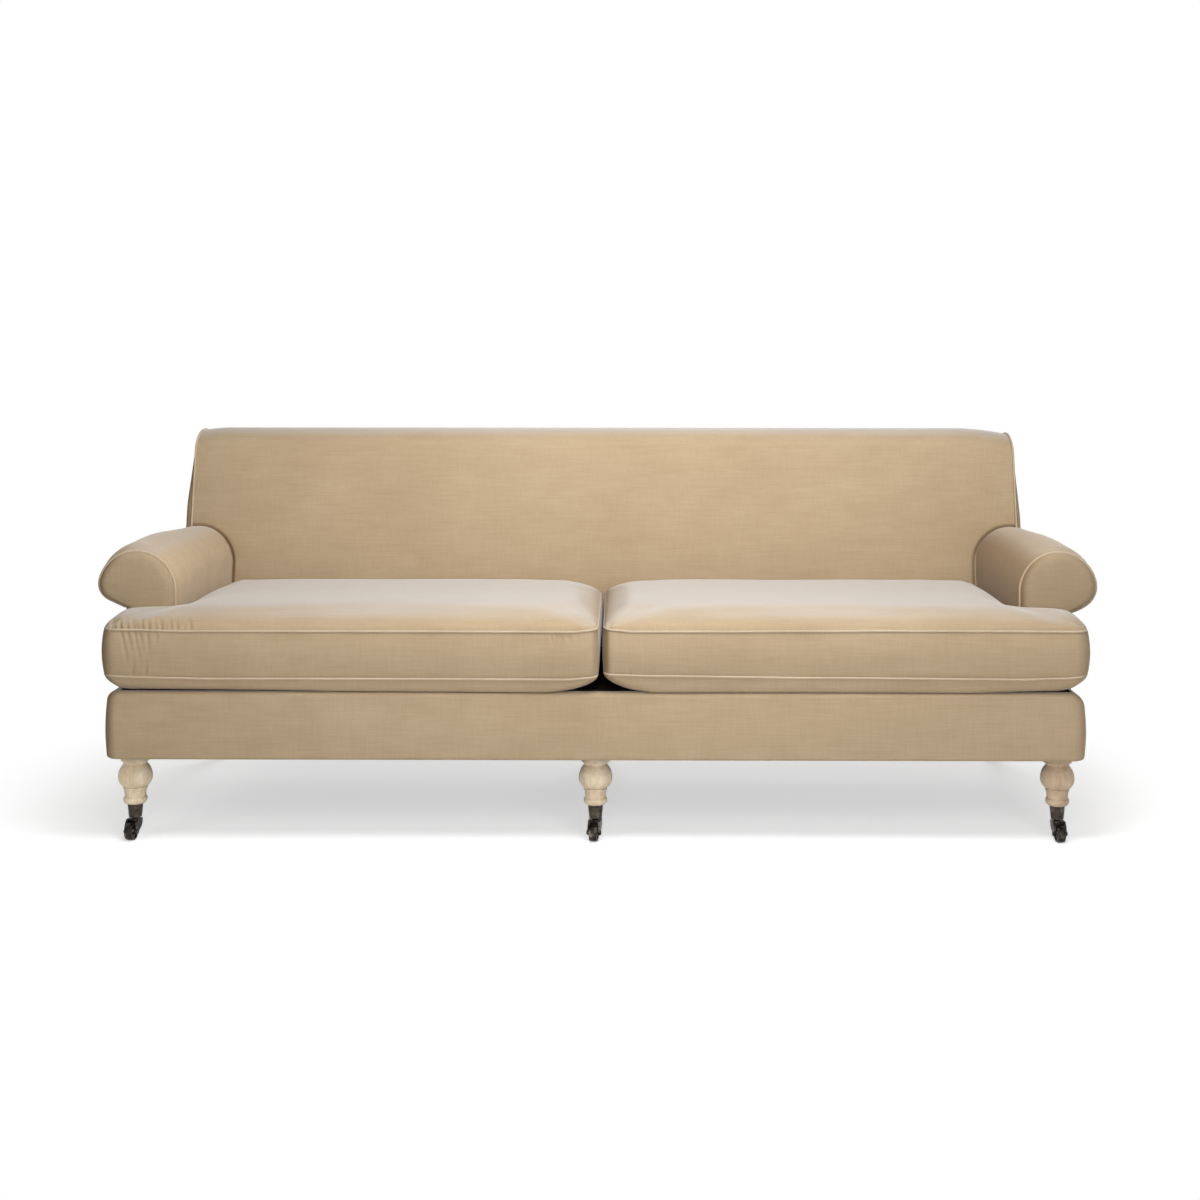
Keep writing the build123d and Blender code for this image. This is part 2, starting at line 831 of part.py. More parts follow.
def cup_radius(height):
    # Outer radius of the tapered cup
    taper = (cup_top_radius - cup_bottom_radius) / cup_height
    return cup_bottom_radius + taper * (height - cup_bottom)


def spigot_radius(height):
    return cup_radius(height) - cup_wall - spigot_gap


def upright(place, depth):
    # A plane through a vertical axis, seen from the front
    return Plane((place, at_depth(depth), 0), x_dir=(1, 0, 0), z_dir=(0, -1, 0))


def stand_axis(place, depth):
    return Axis((place, at_depth(depth), 0), (0, 0, 1))


def front_leg(place):
    with BuildPart() as leg:
        with BuildSketch(upright(place, front_leg_depth)):
            with BuildLine():
                Polyline(
                    (cup_top_radius, cup_top),
                    (spigot_radius(cup_top), cup_top),
                    (spigot_radius(spigot_foot), spigot_foot),
                    (0, spigot_foot),
                    (0, leg_height - bolt_in_leg),
                    (bolt_hole, leg_height - bolt_in_leg),
                    (bolt_hole, leg_height),
                    (collar_radius, leg_height),
                    (collar_radius, collar),
                )
                TangentArc((neck_radius, neck), (collar_radius, collar), tangent=(0, 1))
                belly = (ball_radius, waist + ball_belly)
                TangentArc(belly, (neck_radius, neck), tangent=(0, 1))
                TangentArc(belly, (waist_radius, waist), tangent=(0, -1))
                Polyline(
                    (waist_radius, waist),
                    (fillet_radius, waist),
                    (fillet_radius, shank_top),
                    (shank_top_radius, shank_top),
                )
                TangentArc((shank_radius, ring_top), (shank_top_radius, shank_top), tangent=(0, 1))
                Line((shank_radius, ring_top), (ring_shoulder_radius, ring_top))
                ThreePointArc(
                    (ring_shoulder_radius, ring_top),
                    (ring_radius, cup_top + ring_belly),
                    (cup_top_radius, cup_top),
                )
            make_face()
        revolve(axis=stand_axis(place, front_leg_depth))
    return leg


front_legs = (("left", -leg_place), ("center", 0), ("right", leg_place))
for side, place in front_legs:
    save(front_leg(place), f"{side}_front_leg")

# Rear legs: square, tapered and raked back, on nylon glides
rear_leg_top = 52
rear_leg_foot = 36
rear_leg_rake = 45
rear_leg_edge = 3
glide_height = 4
glide_radius = 12


def rear_leg(place):
    with BuildPart() as leg:
        with BuildSketch(Plane((place, at_depth(rear_leg_depth + rear_leg_rake), glide_height))):
            RectangleRounded(rear_leg_foot, rear_leg_foot, rear_leg_edge)
        with BuildSketch(Plane((place, at_depth(rear_leg_depth), leg_height))):
            RectangleRounded(rear_leg_top, rear_leg_top, rear_leg_edge)
        loft()
        with BuildSketch(Plane((place, at_depth(rear_leg_depth), leg_height))):
            Circle(bolt_hole)
        extrude(amount=-bolt_in_leg, mode=Mode.SUBTRACT)
    return leg


for side, place in front_legs:
    save(rear_leg(place), f"{side}_rear_leg")

with BuildPart() as rear_glides:
    with BuildSketch():
        with Locations(*[(place, at_depth(rear_leg_depth + rear_leg_rake)) for side, place in front_legs]):
            Circle(glide_radius)
    extrude(amount=glide_height)
save(rear_glides, "rear_glides")

# Hanger bolts join each leg to its block.
with BuildPart() as leg_bolts:
    with BuildSketch(Plane.XY.offset(leg_height - bolt_in_leg)):
        for depth in (front_leg_depth, rear_leg_depth):
            with Locations(*[(place, at_depth(depth)) for side, place in front_legs]):
                Circle(bolt_radius)
    extrude(amount=bolt_in_leg + bolt_in_block)
save(leg_bolts, "leg_bolts")

# Dust cover: black cloth under the frame, cut out round the legs
dust_cover_thickness = 1.2
dust_cover_inset = 12
leg_clearance = 2
dust_span = (border_front - dust_cover_inset / 2, rear_rail_back - dust_cover_inset)

with BuildPart() as dust_cover:
    with BuildSketch(Plane.XY.offset(leg_height - dust_cover_thickness)):
        with Locations((0, at_depth(sum(dust_span) / 2))):
            Rectangle(2 * (frame_half - dust_cover_inset), dust_span[1] - dust_span[0])
        with Locations(*[(place, at_depth(front_leg_depth)) for side, place in front_legs]):
            Circle(collar_radius + leg_clearance, mode=Mode.SUBTRACT)
        hole = rear_leg_top + 2 * leg_clearance
        with Locations(*[(place, at_depth(rear_leg_depth)) for side, place in front_legs]):
            Rectangle(hole, hole, mode=Mode.SUBTRACT)
    extrude(amount=dust_cover_thickness)
save(dust_cover, "dust_cover")

# Casters: a cup on the spigot of the leg, a fork that swivels under it, a wheel on a riveted axle
trail = 20  # swivel axis to axle
side_gap = 1  # wheel to fork, each side
axle_radius = 2.5
axle_head_radius = 4.5
axle_head_height = 2
eye_radius = 6
bridge_front = 14
bridge_back = 7
boss_radius = 6.5
web_height = 14  # web behind the wheel, down from the top of the fork
web_taper = 3  # the web follows the slope of the cheeks
hub_radius = 7
rim_width = 4.5  # radial width of the rim
recess = 2.5  # depth of the dish between hub and rim
tread_crown = 1.4
fork_inside = wheel_width / 2 + side_gap
fork_outside = fork_inside + fork_sheet


def caster_cup(place):
    with BuildPart() as cup:
        with BuildSketch(upright(place, front_leg_depth)):
            floor_top = cup_bottom + cup_floor
            with BuildLine():
                Polyline(
                    (stem_radius + turning_gap, cup_bottom),
                    (cup_bottom_radius, cup_bottom),
                    (cup_top_radius, cup_top),
                    (cup_top_radius - cup_wall, cup_top),
                    (cup_radius(floor_top) - cup_wall, floor_top),
                    (stem_radius + turning_gap, floor_top),
                    close=True,
                )
            make_face()
        revolve(axis=stand_axis(place, front_leg_depth))
    return cup


def swivelled(place, angle):
    # The plane of a caster on the floor; its wheel trails along the plane's -Y
    return Plane((place, at_depth(front_leg_depth), 0)).rotated((0, 0, angle))


def fork_cheek(start):
    # One cheek seen along the axle: from the bridge down to the eye of the axle
    diagonal = eye_radius / sqrt(2)
    with BuildSketch(start) as cheek:
        with BuildLine():
            back_edge = Line((bridge_back, fork_top), (bridge_back, fork_top - fork_sheet))
            Spline(
                back_edge @ 1,
                (-trail + diagonal, wheel_radius - diagonal),
                tangents=((0, -1), (-1, -1)),
            )
            eye = ThreePointArc(
                (-trail + diagonal, wheel_radius - diagonal),
                (-trail - diagonal, wheel_radius - diagonal),
                (-trail - eye_radius, wheel_radius),
            )
            Spline(eye @ 1, (-bridge_front, fork_top), tangents=((0, 1), (1, 0.6)))
            Line((-bridge_front, fork_top), back_edge @ 0)
        make_face()
        with Locations((-trail, wheel_radius)):
            Circle(axle_radius + turning_gap, mode=Mode.SUBTRACT)
    return cheek.sketch


def along_axle(floor_plane, place):
    # The plane of a cheek or of the wheel: local X is the caster's Y and local Y is up
    origin = floor_plane.from_local_coords((place, 0, 0))
    return Plane(origin, x_dir=floor_plane.y_dir, z_dir=floor_plane.x_dir)


def caster_fork(floor_plane):
    with BuildPart() as fork:
        for inner_face in (fork_inside, -fork_outside):
            extrude(fork_cheek(along_axle(floor_plane, inner_face)), amount=fork_sheet)
        with BuildSketch(floor_plane.offset(fork_top - fork_sheet)):
            with Locations((0, (bridge_back - bridge_front) / 2)):
                Rectangle(2 * fork_outside, bridge_back + bridge_front)
        extrude(amount=fork_sheet)
        with BuildSketch(along_axle(floor_plane, -fork_inside)):
            with BuildLine():
                web_front = bridge_back - fork_sheet
                Polyline(
                    (web_front, fork_top),
                    (bridge_back, fork_top),
                    (bridge_back, fork_top - fork_sheet),
                    (bridge_back - web_taper, fork_top - web_height),
                    (web_front - web_taper, fork_top - web_height),
                    close=True,
                )
            make_face()
        extrude(amount=2 * fork_inside)
        with BuildSketch(floor_plane.offset(fork_top)):
            Circle(boss_radius)
        extrude(amount=swivel_neck)
        head_foot = cup_bottom + cup_floor + swivel_gap
        with BuildSketch(floor_plane.offset(fork_top)):
            Circle(stem_radius)
        extrude(amount=head_foot - fork_top)
        with BuildSketch(floor_plane.offset(head_foot)):
            Circle(stem_head_radius)
        extrude(amount=stem_head_height)
    return fork


def caster_axle(floor_plane):
    with BuildPart() as axle:
        half_length = fork_outside + side_gap / 4
        for start, radius, length in (
            (-half_length, axle_radius, 2 * half_length),
            (half_length, axle_head_radius, axle_head_height),
            (-half_length - axle_head_height, axle_head_radius, axle_head_height),
        ):
            with BuildSketch(along_axle(floor_plane, start)):
                with Locations((-trail, wheel_radius)):
                    Circle(radius)
            extrude(amount=length)
    return axle


def caster_wheel(floor_plane):
    half = wheel_width / 2
    bore = axle_radius + turning_gap
    rim_inside = wheel_radius - rim_width
    axle_centre = floor_plane.from_local_coords((0, -trail, wheel_radius))
    with BuildPart() as wheel:
        with BuildSketch(Plane(axle_centre, x_dir=floor_plane.x_dir, z_dir=-floor_plane.y_dir)):
            with BuildLine():
                Polyline(
                    (half, wheel_radius - tread_crown),
                    (half, rim_inside),
                    (half - recess, rim_inside - recess / 2),
                    (half - recess, hub_radius + recess / 2),
                    (half, hub_radius),
                    (half, bore),
                    (-half, bore),
                    (-half, hub_radius),
                    (recess - half, hub_radius + recess / 2),
                    (recess - half, rim_inside - recess / 2),
                    (-half, rim_inside),
                    (-half, wheel_radius - tread_crown),
                )
                ThreePointArc(
                    (-half, wheel_radius - tread_crown), (0, wheel_radius), (half, wheel_radius - tread_crown)
                )
            make_face()
        revolve(axis=Axis(axle_centre, floor_plane.x_dir))
    return wheel


# Each caster stands as it was left, with its wheel trailing towards the front.
swivel_angles = {"left": -9, "center": -8, "right": 3}
for side, place in front_legs:
    floor_plane = swivelled(place, swivel_angles[side])
    save(caster_cup(place), f"{side}_caster_cup")
    save(caster_fork(floor_plane), f"{side}_caster_fork")
    save(caster_axle(floor_plane), f"{side}_caster_axle")
    save(caster_wheel(floor_plane), f"{side}_caster_wheel")
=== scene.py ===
import math

import bmesh
import bpy
import numpy as np
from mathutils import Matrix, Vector, noise


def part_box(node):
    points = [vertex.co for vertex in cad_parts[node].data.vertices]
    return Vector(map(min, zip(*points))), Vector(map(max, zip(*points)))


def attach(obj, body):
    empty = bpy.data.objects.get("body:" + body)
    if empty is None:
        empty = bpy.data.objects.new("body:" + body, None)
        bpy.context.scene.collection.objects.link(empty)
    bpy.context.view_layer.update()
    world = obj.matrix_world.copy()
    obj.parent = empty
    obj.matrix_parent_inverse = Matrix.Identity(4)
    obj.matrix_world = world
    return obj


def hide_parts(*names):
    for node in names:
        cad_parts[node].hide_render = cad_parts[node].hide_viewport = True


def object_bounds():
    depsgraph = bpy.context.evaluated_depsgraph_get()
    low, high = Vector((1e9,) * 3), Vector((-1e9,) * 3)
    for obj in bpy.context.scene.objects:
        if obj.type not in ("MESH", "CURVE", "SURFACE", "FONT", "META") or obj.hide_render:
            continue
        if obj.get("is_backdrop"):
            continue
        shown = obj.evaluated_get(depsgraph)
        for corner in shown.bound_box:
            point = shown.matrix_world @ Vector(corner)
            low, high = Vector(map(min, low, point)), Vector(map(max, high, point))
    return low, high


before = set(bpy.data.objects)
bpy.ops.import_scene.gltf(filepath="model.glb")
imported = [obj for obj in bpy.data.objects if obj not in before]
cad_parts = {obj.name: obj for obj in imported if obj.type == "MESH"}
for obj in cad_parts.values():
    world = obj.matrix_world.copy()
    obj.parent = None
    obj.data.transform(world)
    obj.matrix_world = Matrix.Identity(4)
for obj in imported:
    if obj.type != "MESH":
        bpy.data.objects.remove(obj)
cadLow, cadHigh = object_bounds()
scene = bpy.context.scene
white = (1.0, 1.0, 1.0)
ways = {"left": -1, "right": 1}  # which way each side lies along X
print("frame loaded:", len(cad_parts), "nodes")


# Camera and studio

cameraSetup = {
    "place": (0.123, -4.1205, 1.0539),
    "tilt": 90,  # level
    "roll": -0.05,
    "turn": 0.35,  # a touch to the left
    "lens": 51.28,
    "shiftUp": -0.201,  # the photograph is framed lower than its horizon
    "shiftRight": -0.0346,
}

camera = bpy.data.objects.new("camera", bpy.data.cameras.new("camera"))
scene.collection.objects.link(camera)
scene.camera = camera
camera.data.sensor_width = 36
camera.data.lens = cameraSetup["lens"]
camera.data.shift_y = cameraSetup["shiftUp"]
camera.data.shift_x = cameraSetup["shiftRight"]
camera.location = cameraSetup["place"]
camera.rotation_euler = [math.radians(cameraSetup[k]) for k in ("tilt", "roll", "turn")]

scene.view_settings.view_transform = "Standard"

studio = {
    "worldLight": 0.15,
    "overhead": {"place": (0.2, -0.9, 2.1), "size": 1.2, "power": 41, "aim": (0.1, 0.0, 0.4)},
    "front": {"place": (0.8, -4.0, 1.8), "size": 2.5, "power": 70, "aim": (0.1, 0.0, 0.5)},
    "fill": {"place": (-3.2, -3.6, 2.0), "size": 2.6, "power": 28, "aim": (0.0, 0.0, 0.5)},
    "rear": {"place": (0.5, 3.8, 1.7), "size": 2.6, "power": 60, "aim": (0.0, 0.4, 0.4)},
    "paperLight": 1.0,  # what the camera sees of the world
    "floorSize": 30.0,
    "floorColour": (0.86, 0.86, 0.86),
    "floorGlow": 0.52,  # seen by the camera only, so the floor reads as white paper
    "paperStart": 1.05,  # from here out the floor fades to plain white
    "paperEnd": 1.65,
}


def softbox(name, setup):
    lamp = bpy.data.lights.new(name, "AREA")
    lamp.shape = "SQUARE"
    lamp.size = setup["size"]
    lamp.energy = setup["power"]
    lampObj = bpy.data.objects.new(name, lamp)
    lampObj.location = setup["place"]
    aim = Vector(setup["aim"]) - Vector(setup["place"])
    lampObj.rotation_euler = aim.to_track_quat("-Z", "Y").to_euler()
    scene.collection.objects.link(lampObj)


def wire(tree, node, inputs):
    # each socket takes another node's output or a plain value
    for socket, value in inputs.items():
        if isinstance(value, bpy.types.NodeSocket):
            tree.links.new(value, node.inputs[socket])
        else:
            node.inputs[socket].default_value = value
    return node


def addNode(tree, kind, inputs):
    return wire(tree, tree.nodes.new(kind), inputs)


def reckon(tree, operation, one, two):
    sums = tree.nodes.new("ShaderNodeMath")
    sums.operation = operation
    return wire(tree, sums, {0: one, 1: two}).outputs[0]


def easedRange(tree, value, start, end):
    # 0 at start and 1 at end, eased between them
    span = tree.nodes.new("ShaderNodeMapRange")
    span.interpolation_type = "SMOOTHSTEP"
    return wire(tree, span, {"Value": value, "From Min": start, "From Max": end}).outputs[0]


def plainlySeen(tree):
    # 1 for what the camera sees, straight or in a mirror or through glass, and 0 for light that bounces
    path = tree.nodes.new("ShaderNodeLightPath")
    seen = path.outputs["Is Camera Ray"]
    for kind in ("Is Glossy Ray", "Is Transmission Ray"):
        seen = reckon(tree, "MAXIMUM", seen, path.outputs[kind])
    return seen


def showEither(tree, share, one, two, output):
    # the first shader shows where the share is 0 and the second where it is 1
    pick = addNode(tree, "ShaderNodeMixShader", {"Fac": share, 1: one.outputs[0], 2: two.outputs[0]})
    addNode(tree, output, {"Surface": pick.outputs[0]})


def whiteWorld():
    world = bpy.data.worlds.new("studioWhite")
    scene.world = world
    world.use_nodes = True
    tree = world.node_tree
    tree.nodes.clear()
    light, paper = (
        addNode(tree, "ShaderNodeBackground", {"Color": (*white, 1), "Strength": strength})
        for strength in (studio["worldLight"], studio["paperLight"])
    )
    showEither(tree, plainlySeen(tree), light, paper, "ShaderNodeOutputWorld")


def paperFloor():
    half = studio["floorSize"] / 2
    corners = [(-half, -half, 0), (half, -half, 0), (half, half, 0), (-half, half, 0)]
    mesh = bpy.data.meshes.new("floor")
    mesh.from_pydata(corners, [], [(0, 1, 2, 3)])
    floor = bpy.data.objects.new("floor", mesh)
    scene.collection.objects.link(floor)
    paint = bpy.data.materials.new("paperFloor")
    paint.use_nodes = True
    tree = paint.node_tree
    tree.nodes.clear()
    seen = plainlySeen(tree)
    matt = addNode(tree, "ShaderNodeBsdfDiffuse", {"Color": (*studio["floorColour"], 1)})
    glowing = reckon(tree, "MULTIPLY", seen, studio["floorGlow"])
    glow = addNode(tree, "ShaderNodeEmission", {"Strength": glowing})
    both = addNode(tree, "ShaderNodeAddShader", {0: matt.outputs[0], 1: glow.outputs[0]})
    # further out the camera sees plain white, while the light still bounces as before
    coords = tree.nodes.new("ShaderNodeTexCoord")
    spread = addNode(tree, "ShaderNodeVectorMath", {0: coords.outputs["Object"]})
    spread.operation = "LENGTH"
    fade = easedRange(tree, spread.outputs["Value"], studio["paperStart"], studio["paperEnd"])
    paper = tree.nodes.new("ShaderNodeEmission")
    showEither(tree, reckon(tree, "MULTIPLY", fade, seen), both, paper, "ShaderNodeOutputMaterial")
    mesh.materials.append(paint)
    floor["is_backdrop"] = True


whiteWorld()
paperFloor()
for lampName in ("overhead", "front", "fill", "rear"):
    softbox(lampName, studio[lampName])
print("studio set")


# Finishes

def newFinish(name):
    finish = bpy.data.materials.new(name)
    finish.use_nodes = True
    tree = finish.node_tree
    coords = tree.nodes.new("ShaderNodeTexCoord")
    return finish, tree, tree.nodes["Principled BSDF"], coords.outputs["Object"]


def grainNoise(tree, coords, scale, detail=3.0, stretch=(1, 1, 1)):
    spread = addNode(tree, "ShaderNodeMapping", {"Vector": coords, "Scale": stretch})
    grain = {"Vector": spread.outputs["Vector"], "Scale": scale, "Detail": detail}
    return addNode(tree, "ShaderNodeTexNoise", grain).outputs["Fac"]


def ramp(tree, value, stops):
    band = addNode(tree, "ShaderNodeValToRGB", {"Fac": value})
    while len(band.color_ramp.elements) < len(stops):
        band.color_ramp.elements.new(0.5)
    for element, (place, colour) in zip(band.color_ramp.elements, stops):
        element.position = place
        element.color = (*colour, 1)
    return band.outputs["Color"]


def blendColours(tree, share, one, two, mode="MIX"):
    mix = tree.nodes.new("ShaderNodeMix")
    mix.data_type = "RGBA"
    mix.blend_type = mode
    return wire(tree, mix, {0: share, 6: one, 7: two}).outputs[2]


def weighted(tree, one, oneShare, two, twoShare):
    parts = [reckon(tree, "MULTIPLY", *part) for part in ((one, oneShare), (two, twoShare))]
    return reckon(tree, "ADD", *parts)


def raised(tree, height, strength, distance):
    bump = addNode(tree, "ShaderNodeBump", {"Strength": strength, "Distance": distance, "Height": height})
    return bump.outputs["Normal"]


def velvetFinish(name, deep, pale, weave=1.0, paintedSheenShare=0.80):
    finish, tree, shader, coords = newFinish(name)
    cloud = grainNoise(tree, coords, 3.0, 2.0)  # where the pile lies one way or the other
    brushed = grainNoise(tree, coords, 24.0, 3.0, (0.4, 1.0, 1.0))
    slub = grainNoise(tree, coords, 300.0, 2.0, (0.045, 1.0, 1.0))  # thicker threads that run across
    warp = grainNoise(tree, coords, 300.0, 2.0, (1.0, 0.3, 0.06))
    pile = grainNoise(tree, coords, 1100.0, 2.0)
    nap = weighted(tree, cloud, 0.5, brushed, 0.5)
    threads = weighted(tree, slub, 0.6, warp, 0.4)
    woven = ramp(tree, nap, [(0.32, deep), (0.68, pale)])
    shade = ramp(tree, threads, [(0.34, (0.90, 0.89, 0.87)), (0.66, white)])
    fleck = ramp(tree, pile, [(0.30, (0.93, 0.92, 0.91)), (0.70, white)])
    for tone in (shade, fleck):
        woven = blendColours(tree, 1.0, woven, tone, "MULTIPLY")
    # painted sheen: the colour turns pale on up-facing surfaces seen at a glancing angle; painted shade:
    # surfaces that face left are darkened
    normals = tree.nodes.new("ShaderNodeTexCoord").outputs["Normal"]
    lie = addNode(tree, "ShaderNodeSeparateXYZ", {0: normals}).outputs
    glance = addNode(tree, "ShaderNodeLayerWeight", {"Blend": 0.5}).outputs["Facing"]
    # painted sheen mask: up-facing surfaces times how glancing the view is
    flat = reckon(tree, "MULTIPLY", easedRange(tree, lie["Z"], 0.73, 1.0), glance)
    woven = blendColours(tree, reckon(tree, "MULTIPLY", flat, paintedSheenShare), woven, velvetTones["paintedSheen"])
    # painted shade: velvet that faces left is darkened, and its sheen is lessened
    leftFacingPaintedShade = easedRange(tree, lie["X"], -0.10, -0.85)
    woven = blendColours(tree, leftFacingPaintedShade, woven, velvetTones["leftFacingPaintedShade"], "MULTIPLY")
    upward = reckon(tree, "MULTIPLY", easedRange(tree, lie["Z"], 0.50, 1.0), 0.28)
    upright = reckon(tree, "SUBTRACT", 0.40, reckon(tree, "MULTIPLY", leftFacingPaintedShade, 0.28))
    height = reckon(tree, "ADD", threads, reckon(tree, "MULTIPLY", pile, 0.6))
    wire(tree, shader, {
        "Base Color": woven,
        "Roughness": 0.9,
        "Specular IOR Level": 0.12,
        "Sheen Weight": reckon(tree, "ADD", upward, upright),
        "Sheen Roughness": velvetTones["sheenSpread"],
        "Sheen Tint": velvetTones["sheenTint"],
        "Normal": raised(tree, height, 0.25 * weave, 0.0006),
    })
    return finish


def limedOakFinish(name, shade):
    finish, tree, shader, coords = newFinish(name)
    # broad figure and fine grain run up the turning; short pores keep some white lime
    figure = grainNoise(tree, coords, 26.0, 4.0, (1.0, 1.0, 0.16))
    grain = grainNoise(tree, coords, 260.0, 3.0, (1.0, 1.0, 0.05))
    pores = grainNoise(tree, coords, 620.0, 2.0, (1.0, 1.0, 0.045))
    tones = [(place, oakTones[tone]) for place, tone in ((0.34, "deep"), (0.52, "middle"), (0.68, "pale"))]
    wood = ramp(tree, figure, tones)
    fine = ramp(tree, grain, [(0.36, (0.89, 0.87, 0.84)), (0.60, white)])
    pit = ramp(tree, pores, [(0.28, (0.74, 0.68, 0.60)), (0.40, white)])
    for share, tone in ((1.0, fine), (0.5, pit)):
        wood = blendColours(tree, share, wood, tone, "MULTIPLY")
    wash = grainNoise(tree, coords, 45.0)
    lime = ramp(tree, wash, [(0.40, (0.0, 0.0, 0.0)), (0.72, (0.24, 0.24, 0.24))])
    limed = blendColours(tree, lime, wood, (*oakTones["lime"], 1))
    wire(tree, shader, {
        "Base Color": blendColours(tree, 1.0, limed, (*shade, 1), "MULTIPLY"),
        "Roughness": ramp(tree, grain, [(0.3, (0.60, 0.60, 0.60)), (0.7, (0.46, 0.46, 0.46))]),
        "Specular IOR Level": 0.35,
        "Normal": raised(tree, pores, 0.15, 0.0003),
    })
    return finish


def agedBronzeFinish(name, rubbed):
    finish, tree, shader, coords = newFinish(name)
    fleck = grainNoise(tree, coords, 420.0)
    wire(tree, shader, {
        "Base Color": ramp(tree, grainNoise(tree, coords, 70.0, 4.0), rubbed),
        "Roughness": ramp(tree, fleck, [(0.3, (0.20, 0.20, 0.20)), (0.7, (0.42, 0.42, 0.42))]),
        "Metallic": 0.9,
        "Normal": raised(tree, fleck, 0.10, 0.0002),
    })
    return finish


def timberFinish(name, stops):
    finish, tree, shader, coords = newFinish(name)
    figure = grainNoise(tree, coords, 9.0, 4.0, (0.2, 1.0, 1.0))
    streak = grainNoise(tree, coords, 160.0, 3.0, (0.06, 1.0, 1.0))
    wire(tree, shader, {
        "Base Color": blendColours(tree, 0.5, ramp(tree, figure, stops), ramp(tree, streak, stops)),
        "Roughness": 0.6,
        "Normal": raised(tree, streak, 0.15, 0.0005),
    })
    return finish


def wovenFinish(name, scale, stretches, stops, relief, inputs):
    # plain cloth of warp and weft
    finish, tree, shader, coords = newFinish(name)
    warp, weft = (grainNoise(tree, coords, scale, 2.0, stretch) for stretch in stretches)
    threads = reckon(tree, "MULTIPLY", reckon(tree, "ADD", warp, weft), 0.5)
    wire(tree, shader, {"Base Color": ramp(tree, threads, stops), "Normal": raised(tree, threads, *relief)})
    wire(tree, shader, inputs)
    return finish


def cloudyFinish(name, scale, stops, inputs):
    # one tone, a little cloudy
    finish, tree, shader, coords = newFinish(name)
    wire(tree, shader, {"Base Color": ramp(tree, grainNoise(tree, coords, scale), stops)})
    wire(tree, shader, inputs)
    return finish


velvetTones = {
    "deep": (0.400, 0.300, 0.190),
    "pale": (0.450, 0.345, 0.225),
    # painted highlight: the cords get paler tones than the velvet
    "cordDeep": (0.480, 0.375, 0.255),
    "cordPale": (0.580, 0.470, 0.340),
    # painted sheen: pale colour the velvet turns where it faces up and is seen at a glancing angle
    "paintedSheen": (0.515, 0.495, 0.475, 1),
    # painted shade: darker tone for velvet that faces left
    "leftFacingPaintedShade": (0.58, 0.53, 0.48, 1),
    "sheenSpread": 0.34,
    "sheenTint": (0.94, 0.90, 0.88, 1),
}
oakTones = {
    "deep": (0.560, 0.440, 0.298),
    "middle": (0.675, 0.555, 0.398),
    "pale": (0.750, 0.635, 0.482),
    "lime": (0.860, 0.800, 0.700),
}
# painted light and shade: these pieces get lighter or darker copies of the velvet (first number) and their
# own share of painted sheen (second number)
paintedLightShares = {
    "left_cover": (1.20, 0.35),
    "right_cover": (1.02, 0.05),
    "left_facing": (0.93, 0.20),
    "right_facing": (0.86, 0.20),
    "border": (1.0, 0.05),
}


def paintedLightVelvet(name, share, paintedSheenShare):
    # a lighter or darker copy of the velvet: painted light and shade
    deep, pale = (tuple(c * share for c in velvetTones[tone]) for tone in ("deep", "pale"))
    return velvetFinish(name, deep, pale, 1.0, paintedSheenShare)


velvet = velvetFinish("sandVelvet", velvetTones["deep"], velvetTones["pale"])
# one copy of the velvet with painted light and shade for each piece listed above
paintedLightVelvets = {name: paintedLightVelvet(f"{name}_velvet", *shade) for name, shade in paintedLightShares.items()}
# the cords' velvet is paler than the rest: a painted highlight along them
cordPaintedHighlightVelvet = velvetFinish("cordPaintedHighlightVelvet", velvetTones["cordDeep"], velvetTones["cordPale"], 1.4)
# painted light and shade: each front leg gets its own lighter or darker copy of the limed oak
oakPaintedLight = {"left": (1.14, 1.13, 1.10), "center": (0.97, 0.95, 0.93), "right": (0.80, 0.73, 0.68)}
limedOaks = {side: limedOakFinish(f"{side}_limedOak", shade) for side, shade in oakPaintedLight.items()}
cupTones = [(0.34, (0.026, 0.022, 0.017)), (0.58, (0.062, 0.051, 0.039)), (0.76, (0.140, 0.112, 0.080))]
wheelTones = [(0.34, (0.008, 0.007, 0.006)), (0.56, (0.034, 0.028, 0.023)), (0.74, (0.170, 0.145, 0.115))]
agedBronze = agedBronzeFinish("agedBronze", cupTones)
blackBronze = agedBronzeFinish("blackBronze", wheelTones)
frameTimber = timberFinish("frameBeech", [(0.3, (0.36, 0.23, 0.12)), (0.7, (0.52, 0.36, 0.20))])
cambricTones = [(0.3, (0.006, 0.0045, 0.003)), (0.7, (0.020, 0.015, 0.010))]
cambricMatt = {"Roughness": 0.95, "Specular IOR Level": 0.1}
cambricThreads = ((1.0, 0.15, 1.0), (0.15, 1.0, 1.0))
blackCloth = wovenFinish("blackCambric", 420.0, cambricThreads, cambricTones, (0.3, 0.0006), cambricMatt)
juteTones = [(0.3, (0.20, 0.15, 0.09)), (0.7, (0.42, 0.33, 0.21))]
juteThreads = ((0.1, 1.0, 1.0), (1.0, 1.0, 0.1))
juteWebbing = wovenFinish("juteWebbing", 260.0, juteThreads, juteTones, (0.4, 0.001), {"Roughness": 0.9})
steelTones = [(0.3, (0.16, 0.16, 0.17)), (0.7, (0.34, 0.34, 0.35))]
springSteel = cloudyFinish("springSteel", 90.0, steelTones, {"Metallic": 1.0, "Roughness": 0.38})
nylonTones = [(0.3, (0.035, 0.035, 0.036)), (0.7, (0.07, 0.07, 0.072))]
nylonGlide = cloudyFinish("nylonGlide", 200.0, nylonTones, {"Roughness": 0.55})
print("finishes mixed")


# Shared tools of the workshop

def ease(share):
    share = np.clip(share, 0.0, 1.0)
    return share * share * (3 - 2 * share)


